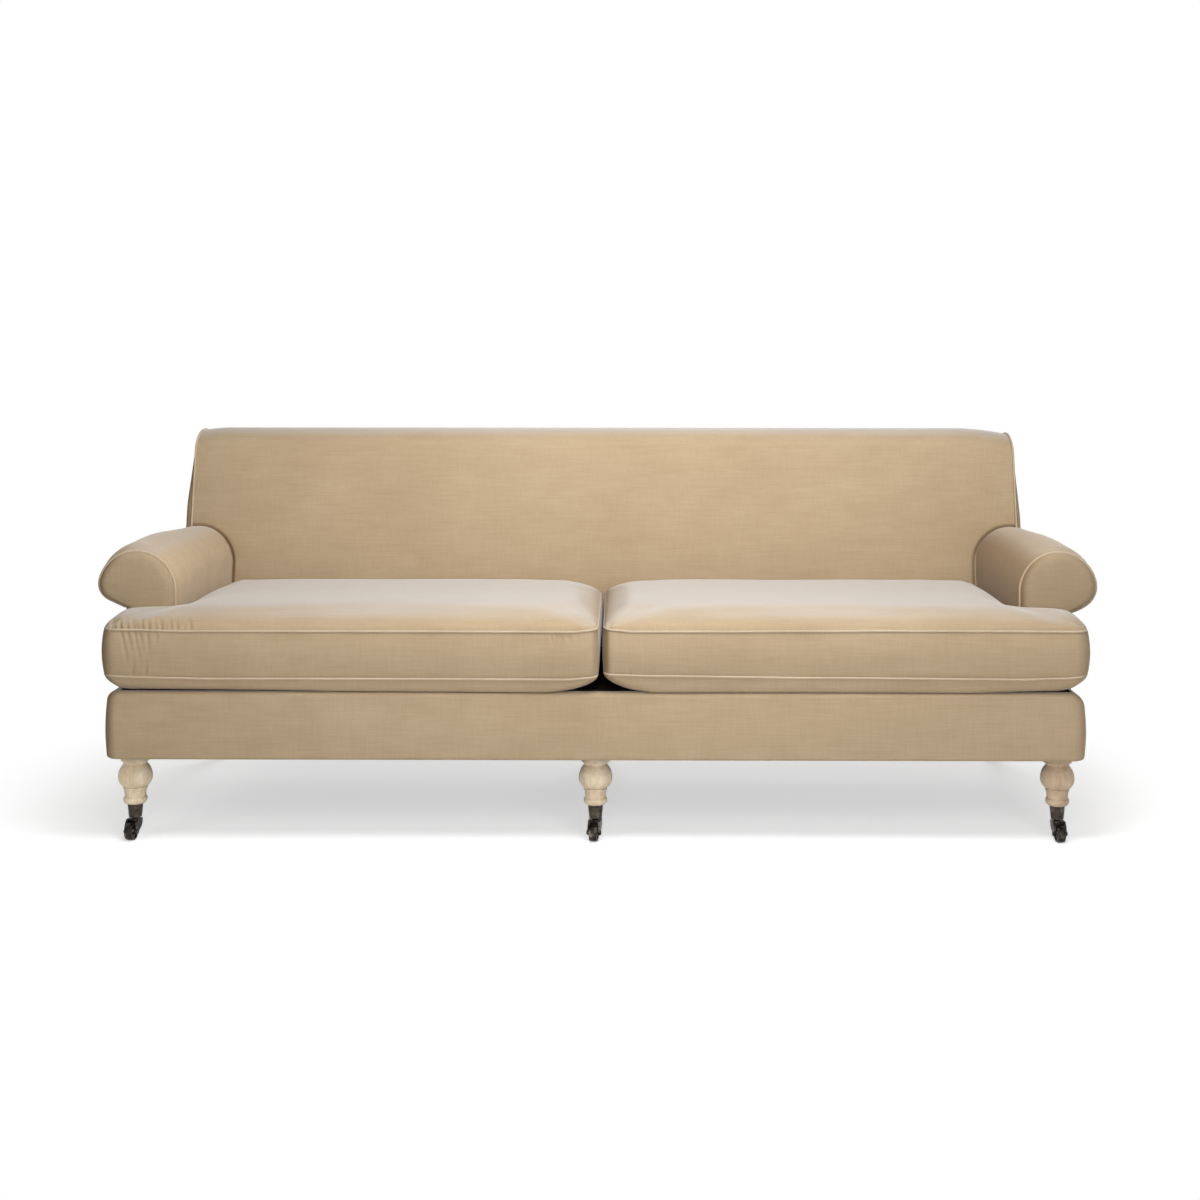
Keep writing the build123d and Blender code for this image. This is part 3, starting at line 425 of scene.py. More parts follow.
def quarterRound(share):
    # height of a quarter ellipse, 0 at its edge and 1 at its top
    share = np.clip(share, 0.0, 1.0)
    return np.sqrt(1 - (1 - share) ** 2)


def arch(share):
    # 0 at both ends and 1 halfway
    return math.sin(math.pi * share)


def quarterTurn(count):
    return np.linspace(0, math.pi / 2, count)


def bell(distance, width):
    return np.exp(-((distance / width) ** 2))


def spaced(points, shares):
    # places on a line at the given shares of its length
    line = np.array(points, float)
    reach = np.concatenate([[0], np.cumsum(np.linalg.norm(np.diff(line, axis=0), axis=1))])
    where = np.array(shares) * reach[-1]
    return np.column_stack([np.interp(where, reach, line[:, k]) for k in range(line.shape[1])])


def evenly(points, count, closed=False):
    # the same line with its points an even distance apart
    line = np.array(points, float)
    if closed:
        line = np.vstack([line, line[:1]])
    return spaced(line, np.linspace(0, 1, count, endpoint=not closed))


def cellLine(ends, cells):
    # a line through its ends, cut into cells of the size given for each stretch
    places = [ends[0]]
    for start, end, cell in zip(ends, ends[1:], cells):
        places += list(np.linspace(start, end, max(2, round((end - start) / cell) + 1))[1:])
    return np.array(places)


def tangentArc(start, heading, end, count):
    # points on the arc that leaves start along heading and arrives at end, and its heading there
    start, end = np.array(start, float), np.array(end, float)
    heading = np.array(heading, float) / np.linalg.norm(heading)
    side = np.array([-heading[1], heading[0]])
    chord = end - start
    lean = 2 * np.dot(chord, side)
    if abs(lean) < 1e-9:
        return [tuple(start + chord * t) for t in np.linspace(0, 1, count)], tuple(heading)
    radius = np.dot(chord, chord) / lean
    middle = start + side * radius
    first = math.atan2(*(start - middle)[::-1])
    turn = math.atan2(*(end - middle)[::-1]) - first
    if radius > 0 and turn < 0:
        turn += 2 * math.pi
    if radius < 0 and turn > 0:
        turn -= 2 * math.pi
    angles = np.linspace(first, first + turn, count)
    size = abs(radius)
    spots = [(middle[0] + size * math.cos(a), middle[1] + size * math.sin(a)) for a in angles]
    way = 1 if radius > 0 else -1
    return spots, (-math.sin(angles[-1]) * way, math.cos(angles[-1]) * way)


def addMesh(name, verts, faces, finish):
    mesh = bpy.data.meshes.new(name)
    mesh.from_pydata([tuple(v) for v in verts], [], faces)
    mesh.validate()
    mesh.update()
    for polygon in mesh.polygons:
        polygon.use_smooth = True
    mesh.materials.append(finish)
    piece = bpy.data.objects.new(name, mesh)
    scene.collection.objects.link(piece)
    return piece


def skin(name, rows, finish, ringed=False, endCaps=False):
    # a cover stretched over rows of points; ringed rows close on themselves
    rows = np.array(rows, float)
    count, wide = rows.shape[:2]
    faces = []
    for i in range(count - 1):
        for j in range(wide if ringed else wide - 1):
            k = (j + 1) % wide
            faces.append((i * wide + j, i * wide + k, (i + 1) * wide + k, (i + 1) * wide + j))
    if endCaps:
        faces.append(tuple(range(wide - 1, -1, -1)))
        faces.append(tuple((count - 1) * wide + j for j in range(wide)))
    return addMesh(name, rows.reshape(-1, 3), faces, finish)


def reworked(piece, change):
    work = bmesh.new()
    work.from_mesh(piece.data)
    change(work)
    work.to_mesh(piece.data)
    work.free()


def faceOutwards(piece):
    reworked(piece, lambda work: bmesh.ops.recalc_face_normals(work, faces=work.faces))


def mergeClose(piece, distance=1e-5):
    reworked(piece, lambda work: bmesh.ops.remove_doubles(work, verts=work.verts, dist=distance))


def lookTo(piece, way):
    # turn an open cover so that it looks a given way
    facing = sum((p.normal * p.area for p in piece.data.polygons), Vector())
    if facing.dot(Vector(way)) < 0:
        piece.data.flip_normals()


def unitRows(rows):
    return rows / np.linalg.norm(rows, axis=1)[:, None]


def loopHeadings(loop):
    return unitRows(np.roll(loop, -1, axis=0) - np.roll(loop, 1, axis=0))


def rightOf(headings):
    return np.column_stack([headings[:, 1], -headings[:, 0]])


cordMesh = {"sides": 10, "step": 0.006, "fewest": 8}


def cordAlong(name, points, radius, closed=False):
    # a covered cord: a round tube on a line, with closed ends unless the line is a loop
    line = np.array(points, float)
    length = np.linalg.norm(np.diff(line, axis=0), axis=1).sum()
    line = evenly(line, max(cordMesh["fewest"], int(length / cordMesh["step"])), closed)
    ahead = loopHeadings(line) if closed else unitRows(np.gradient(line, axis=0))
    side = np.cross(ahead[0], (0, 0, 1))
    if np.linalg.norm(side) < 0.2:
        side = np.cross(ahead[0], (0, 1, 0))
    turns = np.linspace(0, 2 * math.pi, cordMesh["sides"], endpoint=False)
    rows = []
    for spot, way in zip(line, ahead):
        side = side - way * np.dot(side, way)
        side /= np.linalg.norm(side)
        lift = np.cross(way, side)
        rows.append([spot + radius * (math.cos(a) * side + math.sin(a) * lift) for a in turns])
    if closed:
        rows.append(rows[0])
    # the cord's velvet carries a painted highlight
    cord = skin(name, rows, cordPaintedHighlightVelvet, True, not closed)
    if closed:
        mergeClose(cord)
    faceOutwards(cord)
    return cord


def seatOn(piece, body, slot, *nodes):
    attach(piece, body)
    if nodes:
        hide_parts(*nodes)


def ripple(spot, scale, seed):
    # smooth waviness between -1 and 1
    return noise.noise(Vector((spot[0] * scale + seed, spot[1] * scale - seed, spot[2] * scale + 2 * seed)))


def smoothed(piece):
    # one round of subdivision worked into the mesh, so that folds can be drawn into it
    modifier = piece.modifiers.new("smooth", "SUBSURF")
    modifier.levels = 1
    shape = piece.evaluated_get(bpy.context.evaluated_depsgraph_get())
    mesh = bpy.data.meshes.new_from_object(shape)
    piece.modifiers.clear()
    rough = piece.data
    piece.data = mesh
    bpy.data.meshes.remove(rough)
    mesh.name = piece.name


def padOn(name, rows, finish, node, look=None, rounded=True, slot="velvet"):
    # a padded cover on the sofa; an open one looks the given way, and a rounded one is smoothed
    cover = skin(name, rows, finish)
    if rounded:
        faceOutwards(cover)
    if look:
        lookTo(cover, look)
    if rounded:
        smoothed(cover)
    seatOn(cover, "sofa", slot, node)


def placesOf(mesh):
    return np.array([v.co for v in mesh.vertices])


def movePlaces(mesh, places):
    mesh.vertices.foreach_set("co", places.astype(np.float32).ravel())
    mesh.update()


foldReach = 0.025  # a fold doesn't mark what lies further than this in front of it or behind it


def drawFolds(piece, folds):
    # creases in a cover: each runs from a place to a place, deepest where it starts at its seam
    mesh = piece.data
    places = placesOf(mesh)
    normals = np.array([n.vector for n in mesh.vertex_normals])
    rise = np.zeros(len(places))
    for start, end, width, depth in folds:
        first, last = (np.argmin(np.linalg.norm(places - np.array(spot), axis=1)) for spot in (start, end))
        facing = normals[first] + normals[last]
        facing /= np.linalg.norm(facing)
        away = places - places[first]
        height = away @ facing
        flat = away - height[:, None] * facing  # seen straight on, so that it follows a rounded cover
        run = flat[last]
        share = np.clip(flat @ run / max(run @ run, 1e-9), 0, 1)
        apart = np.linalg.norm(flat - share[:, None] * run, axis=1) / width
        dip = depth * (1 - apart ** 2) * np.exp(-(apart ** 2)) * np.cos(share * math.pi / 2) ** 0.7
        rise -= np.where(abs(height) < foldReach, dip, 0)
    movePlaces(mesh, places + normals * rise[:, None])


# Levels and places taken from the frame

deckLow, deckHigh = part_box("seat_deck")
borderLow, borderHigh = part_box("front_border")
armLow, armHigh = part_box("right_arm_pad")
panelLow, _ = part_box("right_arm_front_panel")
outsideLow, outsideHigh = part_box("right_outside_panel")
backLow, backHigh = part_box("back_pad")
_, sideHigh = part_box("right_back_side_panel")
rearLow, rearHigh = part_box("outside_back_panel")
weltLow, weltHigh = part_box("right_cushion_piping")


# Seat cushions

cushionMake = {
    "cell": 0.015,  # spacing of the cover's mesh
    "fineCell": 0.007,  # next to the split and along the front
    "earCell": 0.005,  # in the ears, where the cover is gathered
    "earFine": 0.065,  # and this far before them
    "fineReach": 0.11,
    "edgeRings": (0.0, 0.10, 0.26, 0.48, 0.74),  # closer rows of mesh next to the seams
    "edgeBand": 0.030,
    "boxingShares": (0.0, 0.04, 0.11, 0.22, 0.36, 0.50, 0.64, 0.78, 0.89, 0.96, 1.0),
    "cordRadius": 0.0032,
    "cordShown": 0.0023,
    "seamSink": 0.0020,  # the seams lie this deep beside their cords
    "clearance": 0.003,  # to the arm and its front panel
    "deckGap": 0.0006,  # to the cloth of the deck
    "crown": 0.040,  # rise of the top above the upper cord, before it is filled
    "crownShares": (0.7, 0.3),  # how much of it the shoulder and the reach behind it make up
    "earFall": 0.003,  # the ears crown a little less
    "earStart": (0.15, 0.10),  # from this far before the end, over this stretch
    "topShoulder": 0.062,
    "crownReach": 0.200,  # the top goes on rising a little as far in as this
    "splitReach": 0.090,  # less far at the split
    "earShoulder": 0.054,  # the top falls more slowly to the outer end of an ear
    "notchShoulder": 0.026,  # it stays full where it presses against the arm
    "underShoulder": 0.046,
    "endUnder": {"left": 0.010, "right": 0.034},  # and curls up further under the end of the ear
    "saggedShoulder": 0.018,
    "sagDeep": 0.0045,
    "sagWide": 0.018,
    # how much the front sags on its way from the split to the end of the ear
    "frontSag": {
        "left": ((0.03, 0), (0.11, 1), (0.55, 0.9), (0.95, 0.2), (1.05, 0)),
        "right": ((0.03, 0), (0.11, 1), (0.80, 1), (0.98, 0.3), (1.05, 0)),
    },
    "innerShoulder": 0.105,  # wider under the inner end, where the two cushions meet
    "innerReach": 0.10,  # over this stretch, as does the curl under the end of an ear
    "boxingSwell": 0.0045,
    "cornerOuter": 0.034,
    "cornerInner": 0.022,
    "cornerNotch": 0.018,
    "sideDraw": 0.004,
    "splitShift": (0.013, 0.003),  # the cushions meet right of the middle, more so at the front
    "splitGap": 0.0012,  # the inner seams lie this far behind the cords of the frame
    "endReach": 0.004,
    "endSwell": 0.0006,  # the boxing stands fuller at the end of an ear
    "endEase": 0.7,  # and its seams sink less there
    "endStretch": 0.05,
    "innerRoom": 0.3,  # the two inner ends press against each other, so they swell less
    "looseReach": 0.09,  # the cover lies even at its seams, and loose this far from them
    "boxingLoose": 0.4,
    # the cords wander up and down on their way from the split to the end of the ear
    "lowWander": {
        "left": ((0, 0.0005), (0.06, -0.0055), (0.85, -0.0055), (1.0, -0.002), (1.07, 0.001)),
        "right": ((0, 0.006), (0.08, 0.003), (0.4, -0.001), (0.9, -0.004), (1.0, -0.001), (1.07, 0.006)),
    },
    "highWander": {
        "left": ((0, 0.002), (0.05, -0.004), (0.9, -0.004), (1.0, -0.001), (1.07, 0.0)),
        "right": ((0, 0.003), (0.06, -0.003), (0.3, -0.003), (0.6, -0.001), (1.07, -0.0015)),
    },
    "waves": ((0.0011, 5.0), (0.0005, 17.0)),  # height and scale of the cover's unevenness
    "waveSlant": 0.5,  # share of it that also goes to the rear
    "seed": {"left": 3.1, "right": 8.4},
    "pressure": 3.0,
    "frames": 18,
    "evenings": 10,  # rounds that even out the small wrinkles
    "most": 0.007,  # furthest that the filling may push the cover
}


outlineMesh = {"step": 0.004, "arcPoints": 13, "fewest": 4, "settleRounds": 40}


def roundedLoop(corners, radii, sags):
    # closed outline, counter-clockwise, with rounded corners; also the place of each corner's middle
    corners = [np.array(c, float) for c in corners]
    points, middles = [], []
    for k, here in enumerate(corners):
        n = (k + 1) % len(corners)
        before, after = corners[k - 1], corners[n]
        inWay = (here - before) / np.linalg.norm(here - before)
        outWay = (after - here) / np.linalg.norm(after - here)
        radius = radii[k]
        arc, _ = tangentArc(here - inWay * radius, inWay, here + outWay * radius, outlineMesh["arcPoints"])
        middles.append(len(points) + outlineMesh["arcPoints"] // 2)
        points += [np.array(a) for a in arc]
        runStart, runEnd = here + outWay * radius, after - outWay * radii[n]
        length = np.linalg.norm(runEnd - runStart)
        inward = np.array([-outWay[1], outWay[0]])
        count = max(outlineMesh["fewest"], int(length / outlineMesh["step"]))
        for t in np.linspace(0, 1, count)[1:-1]:
            points.append(runStart + (runEnd - runStart) * t + inward * sags[k] * arch(t))
    return np.array(points), middles


def sideStretch(outline, middles, k):
    # one side of an outline, from corner middle to corner middle
    first, last = middles[k], middles[(k + 1) % len(middles)]
    if last > first:
        return outline[first:last + 1]
    return np.vstack([outline[first:], outline[:last + 1]])


def alongSides(outline, middles, shares):
    # the points of each side where its row of mesh has them
    return np.vstack([spaced(sideStretch(outline, middles, k), share) for k, share in enumerate(shares)])


def ringFaces(rings):
    # cells between closed rings of points
    faces = []
    for one, two in zip(rings, rings[1:]):
        faces += zip(one, one[1:] + one[:1], two[1:] + two[:1], two)
    return faces


def settle(places, cells, held):
    # let the inside of a grid even out between its held edges
    fixed = np.zeros(len(places), bool)
    fixed[held] = True
    links = sorted({pair for cell in cells for pair in zip(cell, cell[1:] + cell[:1])})
    links = np.array(links + [(b, a) for a, b in links])
    for _ in range(outlineMesh["settleRounds"]):
        total = np.zeros_like(places)
        seen = np.zeros(len(places))
        np.add.at(total, links[:, 0], places[links[:, 1]])
        np.add.at(seen, links[:, 0], 1)
        places[~fixed] = (total / seen[:, None])[~fixed]


def loopNormals(loop):
    return rightOf(loopHeadings(loop))


def cushionPlan(side, make):
    # T-shaped plan of a cushion, drawn as the right one: a settled grid with rings round it
    way = ways[side]
    inner, outer = weltLow.x + make["splitGap"], weltHigh.x - make["cordRadius"] + make["endReach"]
    innerFront, innerBack = (inner + way * shift for shift in make["splitShift"])
    front, back = weltLow.y + make["cordRadius"], weltHigh.y - make["cordRadius"]
    notchX = armLow.x - make["clearance"] - make["cordRadius"]
    notchY = panelLow.y - make["clearance"] - make["cordRadius"]
    corners = [(innerFront, front), (outer, front), (outer, notchY)]
    corners += [(notchX, notchY), (notchX, back), (innerBack, back)]
    ci, co, cn, draw = make["cornerInner"], make["cornerOuter"], make["cornerNotch"], make["sideDraw"]
    sags = [draw, draw / 3, draw / 3, draw, draw, -0.001]
    outline, middles = roundedLoop(corners, [ci, co, ci, cn, ci, ci], sags)
    band = make["edgeBand"]
    x0, x1, x2 = max(innerFront, innerBack) + band, notchX - band, outer - band
    y0, y1, y2 = front + band, notchY - band, back - band
    within = [(innerFront + band, y0), (x2, y0), (x2, y1), (x1, y1), (x1, y2), (innerBack + band, y2)]
    coreRadii = [0.004, 0.008, 0.004, 0.020, 0.004, 0.004]
    core, coreMiddles = roundedLoop(within, coreRadii, [draw, 0, 0, draw, draw, 0])
    mainEnds = (x0, x0 + make["fineReach"], x1 - make["earFine"], x1)
    mainLine = cellLine(mainEnds, (make["fineCell"], make["cell"], make["earCell"]))
    earLine = cellLine((x1, x2), (make["earCell"],))
    frontLine = cellLine((y0, y1), (make["fineCell"],))
    rearLine = cellLine((y1, y2), (make["cell"],))
    mainCols, earRows = len(mainLine) - 1, len(frontLine) - 1
    lineX, lineY = np.concatenate([mainLine, earLine[1:]]), np.concatenate([frontLine, rearLine[1:]])
    wide, deep = len(lineX) - 1, len(lineY) - 1
    index, places = {}, []
    for i in range(wide + 1):
        for j in range(deep + 1):
            if i <= mainCols or j <= earRows:
                index[i, j] = len(places)
                places.append((lineX[i], lineY[j]))
    cells = [
        (index[i, j], index[i + 1, j], index[i + 1, j + 1], index[i, j + 1])
        for i in range(wide)
        for j in range(deep)
        if i < mainCols or j < earRows
    ]
    sides = [
        [(i, 0) for i in range(wide + 1)],
        [(wide, j) for j in range(earRows + 1)],
        [(i, earRows) for i in range(wide, mainCols - 1, -1)],
        [(mainCols, j) for j in range(earRows, deep + 1)],
        [(i, deep) for i in range(mainCols, -1, -1)],
        [(0, j) for j in range(deep, -1, -1)],
    ]
    shares = []
    for row in sides:
        steps = np.hypot(np.diff([lineX[i] for i, _ in row]), np.diff([lineY[j] for _, j in row]))
        shares.append(np.concatenate([[0], np.cumsum(steps)[:-1]]) / steps.sum())
    loop = [index[spot] for row in sides for spot in row[:-1]]
    places = np.array(places)
    places[loop] = alongSides(core, coreMiddles, shares)
    settle(places, cells, loop)
    edge = alongSides(outline, middles, shares)
    rim = places[loop]
    atEnd = bell(outer - edge[:, 0], make["endStretch"])
    seam = edge - loopNormals(edge) * (make["seamSink"] * (1 - make["endEase"] * atEnd))[:, None]
    ringLoops = []
    for share in make["edgeRings"]:
        ringLoops.append(list(range(len(places), len(places) + len(loop))))
        places = np.vstack([places, edge + (rim - edge) * share if share else seam])
    cells += ringFaces(ringLoops + [loop])
    gaps = []  # from every place to each of the six sides
    for k in range(6):
        line = sideStretch(outline, middles, k)
        gap = np.full(len(places), 9.0)
        for start in range(0, len(line), 200):
            part = line[start:start + 200]
            apart = np.hypot(places[:, None, 0] - part[None, :, 0], places[:, None, 1] - part[None, :, 1])
            gap = np.minimum(gap, apart.min(axis=1))
        gap[ringLoops[0]] = np.where(gap[ringLoops[0]] < 0.004, 0, gap[ringLoops[0]])
        gaps.append(gap)
    return places, cells, ringLoops[0], gaps, corners, atEnd


def cushionShell(side, make, plan):
    places, cells, loop, gaps, corners, atEnd = plan
    gap = np.min(gaps, axis=0)
    count = len(places)
    fromInner = places[:, 0] - corners[0][0]
    nearSplit = bell(fromInner, make["innerReach"])
    lowSeam = weltLow.z + make["cordRadius"] + np.interp(fromInner, *zip(*make["lowWander"][side]))
    highSeam = weltHigh.z - make["cordRadius"] + np.interp(fromInner, *zip(*make["highWander"][side]))
    floor = deckHigh.z + make["deckGap"]
    earStart, earFade = make["earStart"]
    toEar = ease((places[:, 0] - (corners[1][0] - earStart)) / earFade)
    crest = weltHigh.z - make["cordRadius"] + make["crown"] - make["earFall"] * toEar
    # front, end of the ear, two sides against the arm, back, and the side at the split
    full = quarterRound(gaps[1] / make["earShoulder"])
    for k, reach in ((0, make["crownReach"]), (4, make["crownReach"]), (5, make["splitReach"])):
        shoulderShare, reachShare = make["crownShares"]
        crowned = shoulderShare * quarterRound(gaps[k] / make["topShoulder"])
        full *= crowned + reachShare * quarterRound(gaps[k] / reach)
    for k in (2, 3):
        full *= quarterRound(gaps[k] / make["notchShoulder"])
    full[loop] = 0
    under = make["underShoulder"] + (make["innerShoulder"] - make["underShoulder"]) * nearSplit
    under += make["endUnder"][side] * bell(corners[1][0] - places[:, 0], make["innerReach"])
    top = highSeam + (crest - highSeam) * full
    # along the front it sags a little over the rounded edge of the border
    sag = np.interp(fromInner, *zip(*make["frontSag"][side]))
    frontUnder = make["underShoulder"] + (make["saggedShoulder"] - make["underShoulder"]) * sag
    rest = np.min(gaps[1:], axis=0)
    foot = lowSeam - (lowSeam - floor) * quarterRound(rest / under) * quarterRound(gaps[0] / frontUnder)
    foot -= make["sagDeep"] * sag * np.sin(math.pi * np.clip(gaps[0] / make["sagWide"], 0, 1))
    verts = [(x, y, z) for (x, y), z in zip(places, top)]
    verts += [(x, y, z) for (x, y), z in zip(places, foot)]
    faces = [tuple(cell) for cell in cells] + [tuple(count + k for k in reversed(cell)) for cell in cells]
    outward = loopNormals(places[loop])
    rings = [[count + k for k in loop]]
    for share in make["boxingShares"][1:-1]:
        leave = make["seamSink"] * ease(share * (1 - share) * 16)
        fullness = arch(share)
        ring = []
        for spot, way, k, end in zip(places[loop], outward, loop, atEnd):
            room = make["innerRoom"] if way[0] < -0.5 else 1.0
            swell = leave * (1 - make["endEase"] * end)
            swell += (make["boxingSwell"] + make["endSwell"] * end) * fullness
            ring.append(len(verts))
            verts.append((*(spot + way * swell * room), lowSeam[k] + (highSeam[k] - lowSeam[k]) * share))
        rings.append(ring)
    rings.append(list(loop))
    faces += ringFaces(rings)
    pinned = set(rings[-1]) | set(range(count, 2 * count))  # the seams and all that lies underneath
    boxing = np.full(len(verts) - 2 * count, make["boxingLoose"])
    loose = np.concatenate([ease(gap / make["looseReach"]), np.zeros(count), boxing])
    tip = bell(corners[1][0] - places[loop][:, 0], 0.016) + (outward[:, 0] < -0.9) * 0.7
    proud = outward * (make["seamSink"] * (1 - 2.2 * tip))[:, None]
    return np.array(verts), faces, sorted(pinned), rings, proud, loose


def fillCushion(piece, make, pinned):
    # the filling presses the cover out between its seams
    group = piece.vertex_groups.new(name="seams")
    group.add(pinned, 1.0, "REPLACE")
    cloth = piece.modifiers.new("cover", "CLOTH")
    settings = cloth.settings
    settings.quality = 6
    settings.mass = 0.35
    settings.tension_stiffness = 24
    settings.compression_stiffness = 24
    settings.shear_stiffness = 8
    settings.bending_stiffness = 0.8
    settings.vertex_group_mass = "seams"
    settings.use_pressure = True
    settings.uniform_pressure_force = make["pressure"]
    settings.shrink_min = -0.004
    settings.effector_weights.gravity = 0
    cloth.point_cache.frame_start = 1
    cloth.point_cache.frame_end = make["frames"]
    for step in range(1, make["frames"] + 1):
        scene.frame_set(step)
    shape = piece.evaluated_get(bpy.context.evaluated_depsgraph_get())
    after = placesOf(shape.data)
    before = placesOf(piece.data)
    piece.modifiers.remove(cloth)
    piece.vertex_groups.clear()
    scene.frame_set(1)
    push = after - before
    edges = np.array([edge.vertices[:] for edge in piece.data.edges])
    for _ in range(make["evenings"]):
        total, seen = push.copy(), np.ones(len(push))
        np.add.at(total, edges[:, 0], push[edges[:, 1]])
        np.add.at(total, edges[:, 1], push[edges[:, 0]])
        np.add.at(seen, edges.ravel(), 1)
        push = total / seen[:, None]
        push[pinned] = 0
    far = np.linalg.norm(push, axis=1)
    limit = make["most"] * np.tanh(far / make["most"])
    push *= (limit / np.maximum(far, 1e-9))[:, None]
    movePlaces(piece.data, before + push)
    print(piece.name, "filled, furthest push", round(float(far.max()) * 1000, 1), "mm")


def cushionFolds(side):
    # gathers and puckers of each cover: from, to, half width and depth
    front = weltLow.y
    low, high = weltLow.z, weltHigh.z
    folds = []
    if side == "left":
        for n in range(15):
            x = -1.048 + 0.0122 * n + 0.0030 * math.sin(5.0 * n)
            reach = 0.056 + 0.012 * math.sin(2.3 * n + 0.6) - 0.0022 * n
            depth = 0.0046 + 0.0010 * math.sin(3.7 * n) - 0.00014 * n
            end = (x - 0.25 * reach, front + 0.6 * reach, high + 0.8 * reach)
            folds.append(((x, front, high), end, 0.0042, depth))
        boxing = [
            ((-1.022, 0.466), (-1.008, 0.396)), ((-1.010, 0.464), (-0.996, 0.420)),
            ((-0.994, 0.465), (-0.979, 0.388)), ((-0.984, 0.462), (-0.972, 0.424)),
            ((-0.966, 0.464), (-0.958, 0.410)), ((-1.000, 0.372), (-0.994, 0.402)),
            ((-0.970, 0.372), (-0.966, 0.400)), ((-0.948, 0.465), (-0.944, 0.436)),
            ((-0.095, 0.456), (-0.086, 0.430)), ((-0.085, 0.460), (-0.080, 0.438)),
            ((-0.074, 0.457), (-0.068, 0.442)), ((-0.058, 0.458), (-0.050, 0.442)),
        ]
        for (x0, z0), (x1, z1) in boxing:
            folds.append(((x0, front, z0), (x1, front, z1), 0.0048, 0.0022))
    else:
        for n in range(6):
            x = 1.028 + 0.0085 * n
            folds.append(((x, front, high), (x + 0.003, front + 0.008, high + 0.014), 0.0038, 0.0022))
        corner = [
            ((0.026, 0.000, high + 0.006), (0.052, 0.002, high + 0.004), 0.0034),
            ((0.022, 0.004, high + 0.006), (0.038, 0.016, high + 0.018), 0.0026),
            ((0.030, 0.000, low - 0.001), (0.048, 0.000, low + 0.006), 0.0030),
            ((0.074, 0.000, low + 0.010), (0.078, 0.000, low + 0.022), 0.0014),
        ]
        for (x0, y0, z0), (x1, y1, z1), depth in corner:
            folds.append(((x0, front + y0, z0), (x1, front + y1, z1), 0.0040, depth))
    return folds


def makeCushion(side, make):
    verts, faces, pinned, rings, proud, loose = cushionShell(side, make, cushionPlan(side, make))
    verts[:, 0] *= ways[side]
    proud[:, 0] *= ways[side]
    if side == "left":
        faces = [tuple(reversed(face)) for face in faces]
    for k in np.flatnonzero(loose):
        wave = sum(size * ripple(verts[k], scale, make["seed"][side]) for size, scale in make["waves"])
        verts[k, 2] += wave * loose[k]
        verts[k, 1] += make["waveSlant"] * wave * loose[k]
    cushion = addMesh(f"{side}_cushion_cover", verts, faces, velvet)
    fillCushion(cushion, make, pinned)
    shape = placesOf(cushion.data)
    smoothed(cushion)
    drawFolds(cushion, cushionFolds(side))
    seatOn(cushion, f"{side}_cushion", "velvet", f"{side}_seat_cushion")
    proud = np.column_stack([proud, np.zeros(len(proud))])
    for number, (ring, label) in enumerate(((rings[0], "lower"), (rings[-1], "upper"))):
        path = shape[ring] + proud
        cord = cordAlong(f"{side}_cushion_{label}_cord", path, make["cordShown"], True)
        seatOn(cord, f"{side}_cushion", "piping", *([f"{side}_cushion_piping"] if number else []))


for side in ways:
    makeCushion(side, cushionMake)
print("cushions made")


# Arms

armMake = {
    "rollRise": 0.090,  # start of the roll to its top, on the inside
    "rollDrop": 0.066,  # top of the roll to its widest place
    "rollUnder": 0.111,  # top of the roll to the turn under it
    "rollTuck": 0.1285,  # top of the roll to the seam under it
    "underInset": 0.021,
    "stuffing": {"left": 0.000, "right": 0.010},  # the right roll hangs a little lower than the left
    "lengthCrown": 0.005,  # the roll stands fuller halfway along
    "rearRise": 0.003,
    "fullFront": {"left": 0.012, "right": 0.007},  # the roll swells out behind its front cord
    "fullReach": 0.05,  # over this length
    "cordPull": 0.0022,  # and is drawn in at the cord
    "cordPullReach": 0.010,
    "nip": 0.0015,  # the roll is drawn in where it meets the back
    "nipReach": 0.013,
    "wave": (0.0010, 6.0),  # height and scale of the cover's unevenness
    "seed": {"left": 1.7, "right": 5.2},
    "seamInset": 0.006,  # the seam under the roll lies this far inside the outside panel
    "around": 84,
    "panelAround": 180,
    "panelRings": 22,
    "panelDome": 0.015,
    "panelRim": 0.022,  # width of the facing's rounded rim
    "cordRadius": 0.0030,
}
arm = {
    "inside": armLow.x,
    "outside": outsideHigh.x,
    "rollOutside": armHigh.x,
    "middle": (armLow.x + armHigh.x) / 2,
    "top": armHigh.z,
    "foot": armLow.z,
    "front": armLow.y,
    "rear": armHigh.y,
}
backLean = math.tan(math.radians(11))  # lean of the inside back


def armOutline(side, inset, make):
    # the arm seen from the front, drawn as the right one: up the inside, over the roll and back under it
    low = make["stuffing"][side]
    inside, top = arm["inside"] + inset, arm["top"]
    start = (inside, top - make["rollRise"])
    crown, way = tangentArc(start, (0, 1), (arm["middle"], top - inset), 24)
    shoulder, way = tangentArc(crown[-1], way, (arm["rollOutside"] - inset, top - make["rollDrop"]), 20)
    under = (arm["rollOutside"] - make["underInset"] - inset / 2, top - make["rollUnder"] - low + inset)
    turn, way = tangentArc(shoulder[-1], way, under, 14)
    seam = arm["outside"] - make["seamInset"]
    tuck, way = tangentArc(turn[-1], way, (seam, top - make["rollTuck"] - low + inset), 12)
    rise = [(inside, z) for z in np.linspace(arm["foot"], start[1], 20)]
    return rise[:-1] + crown[:-1] + shoulder[:-1] + turn[:-1] + tuck


def insideBack(z):
    return backLow.y + (z - backLow.z) * backLean


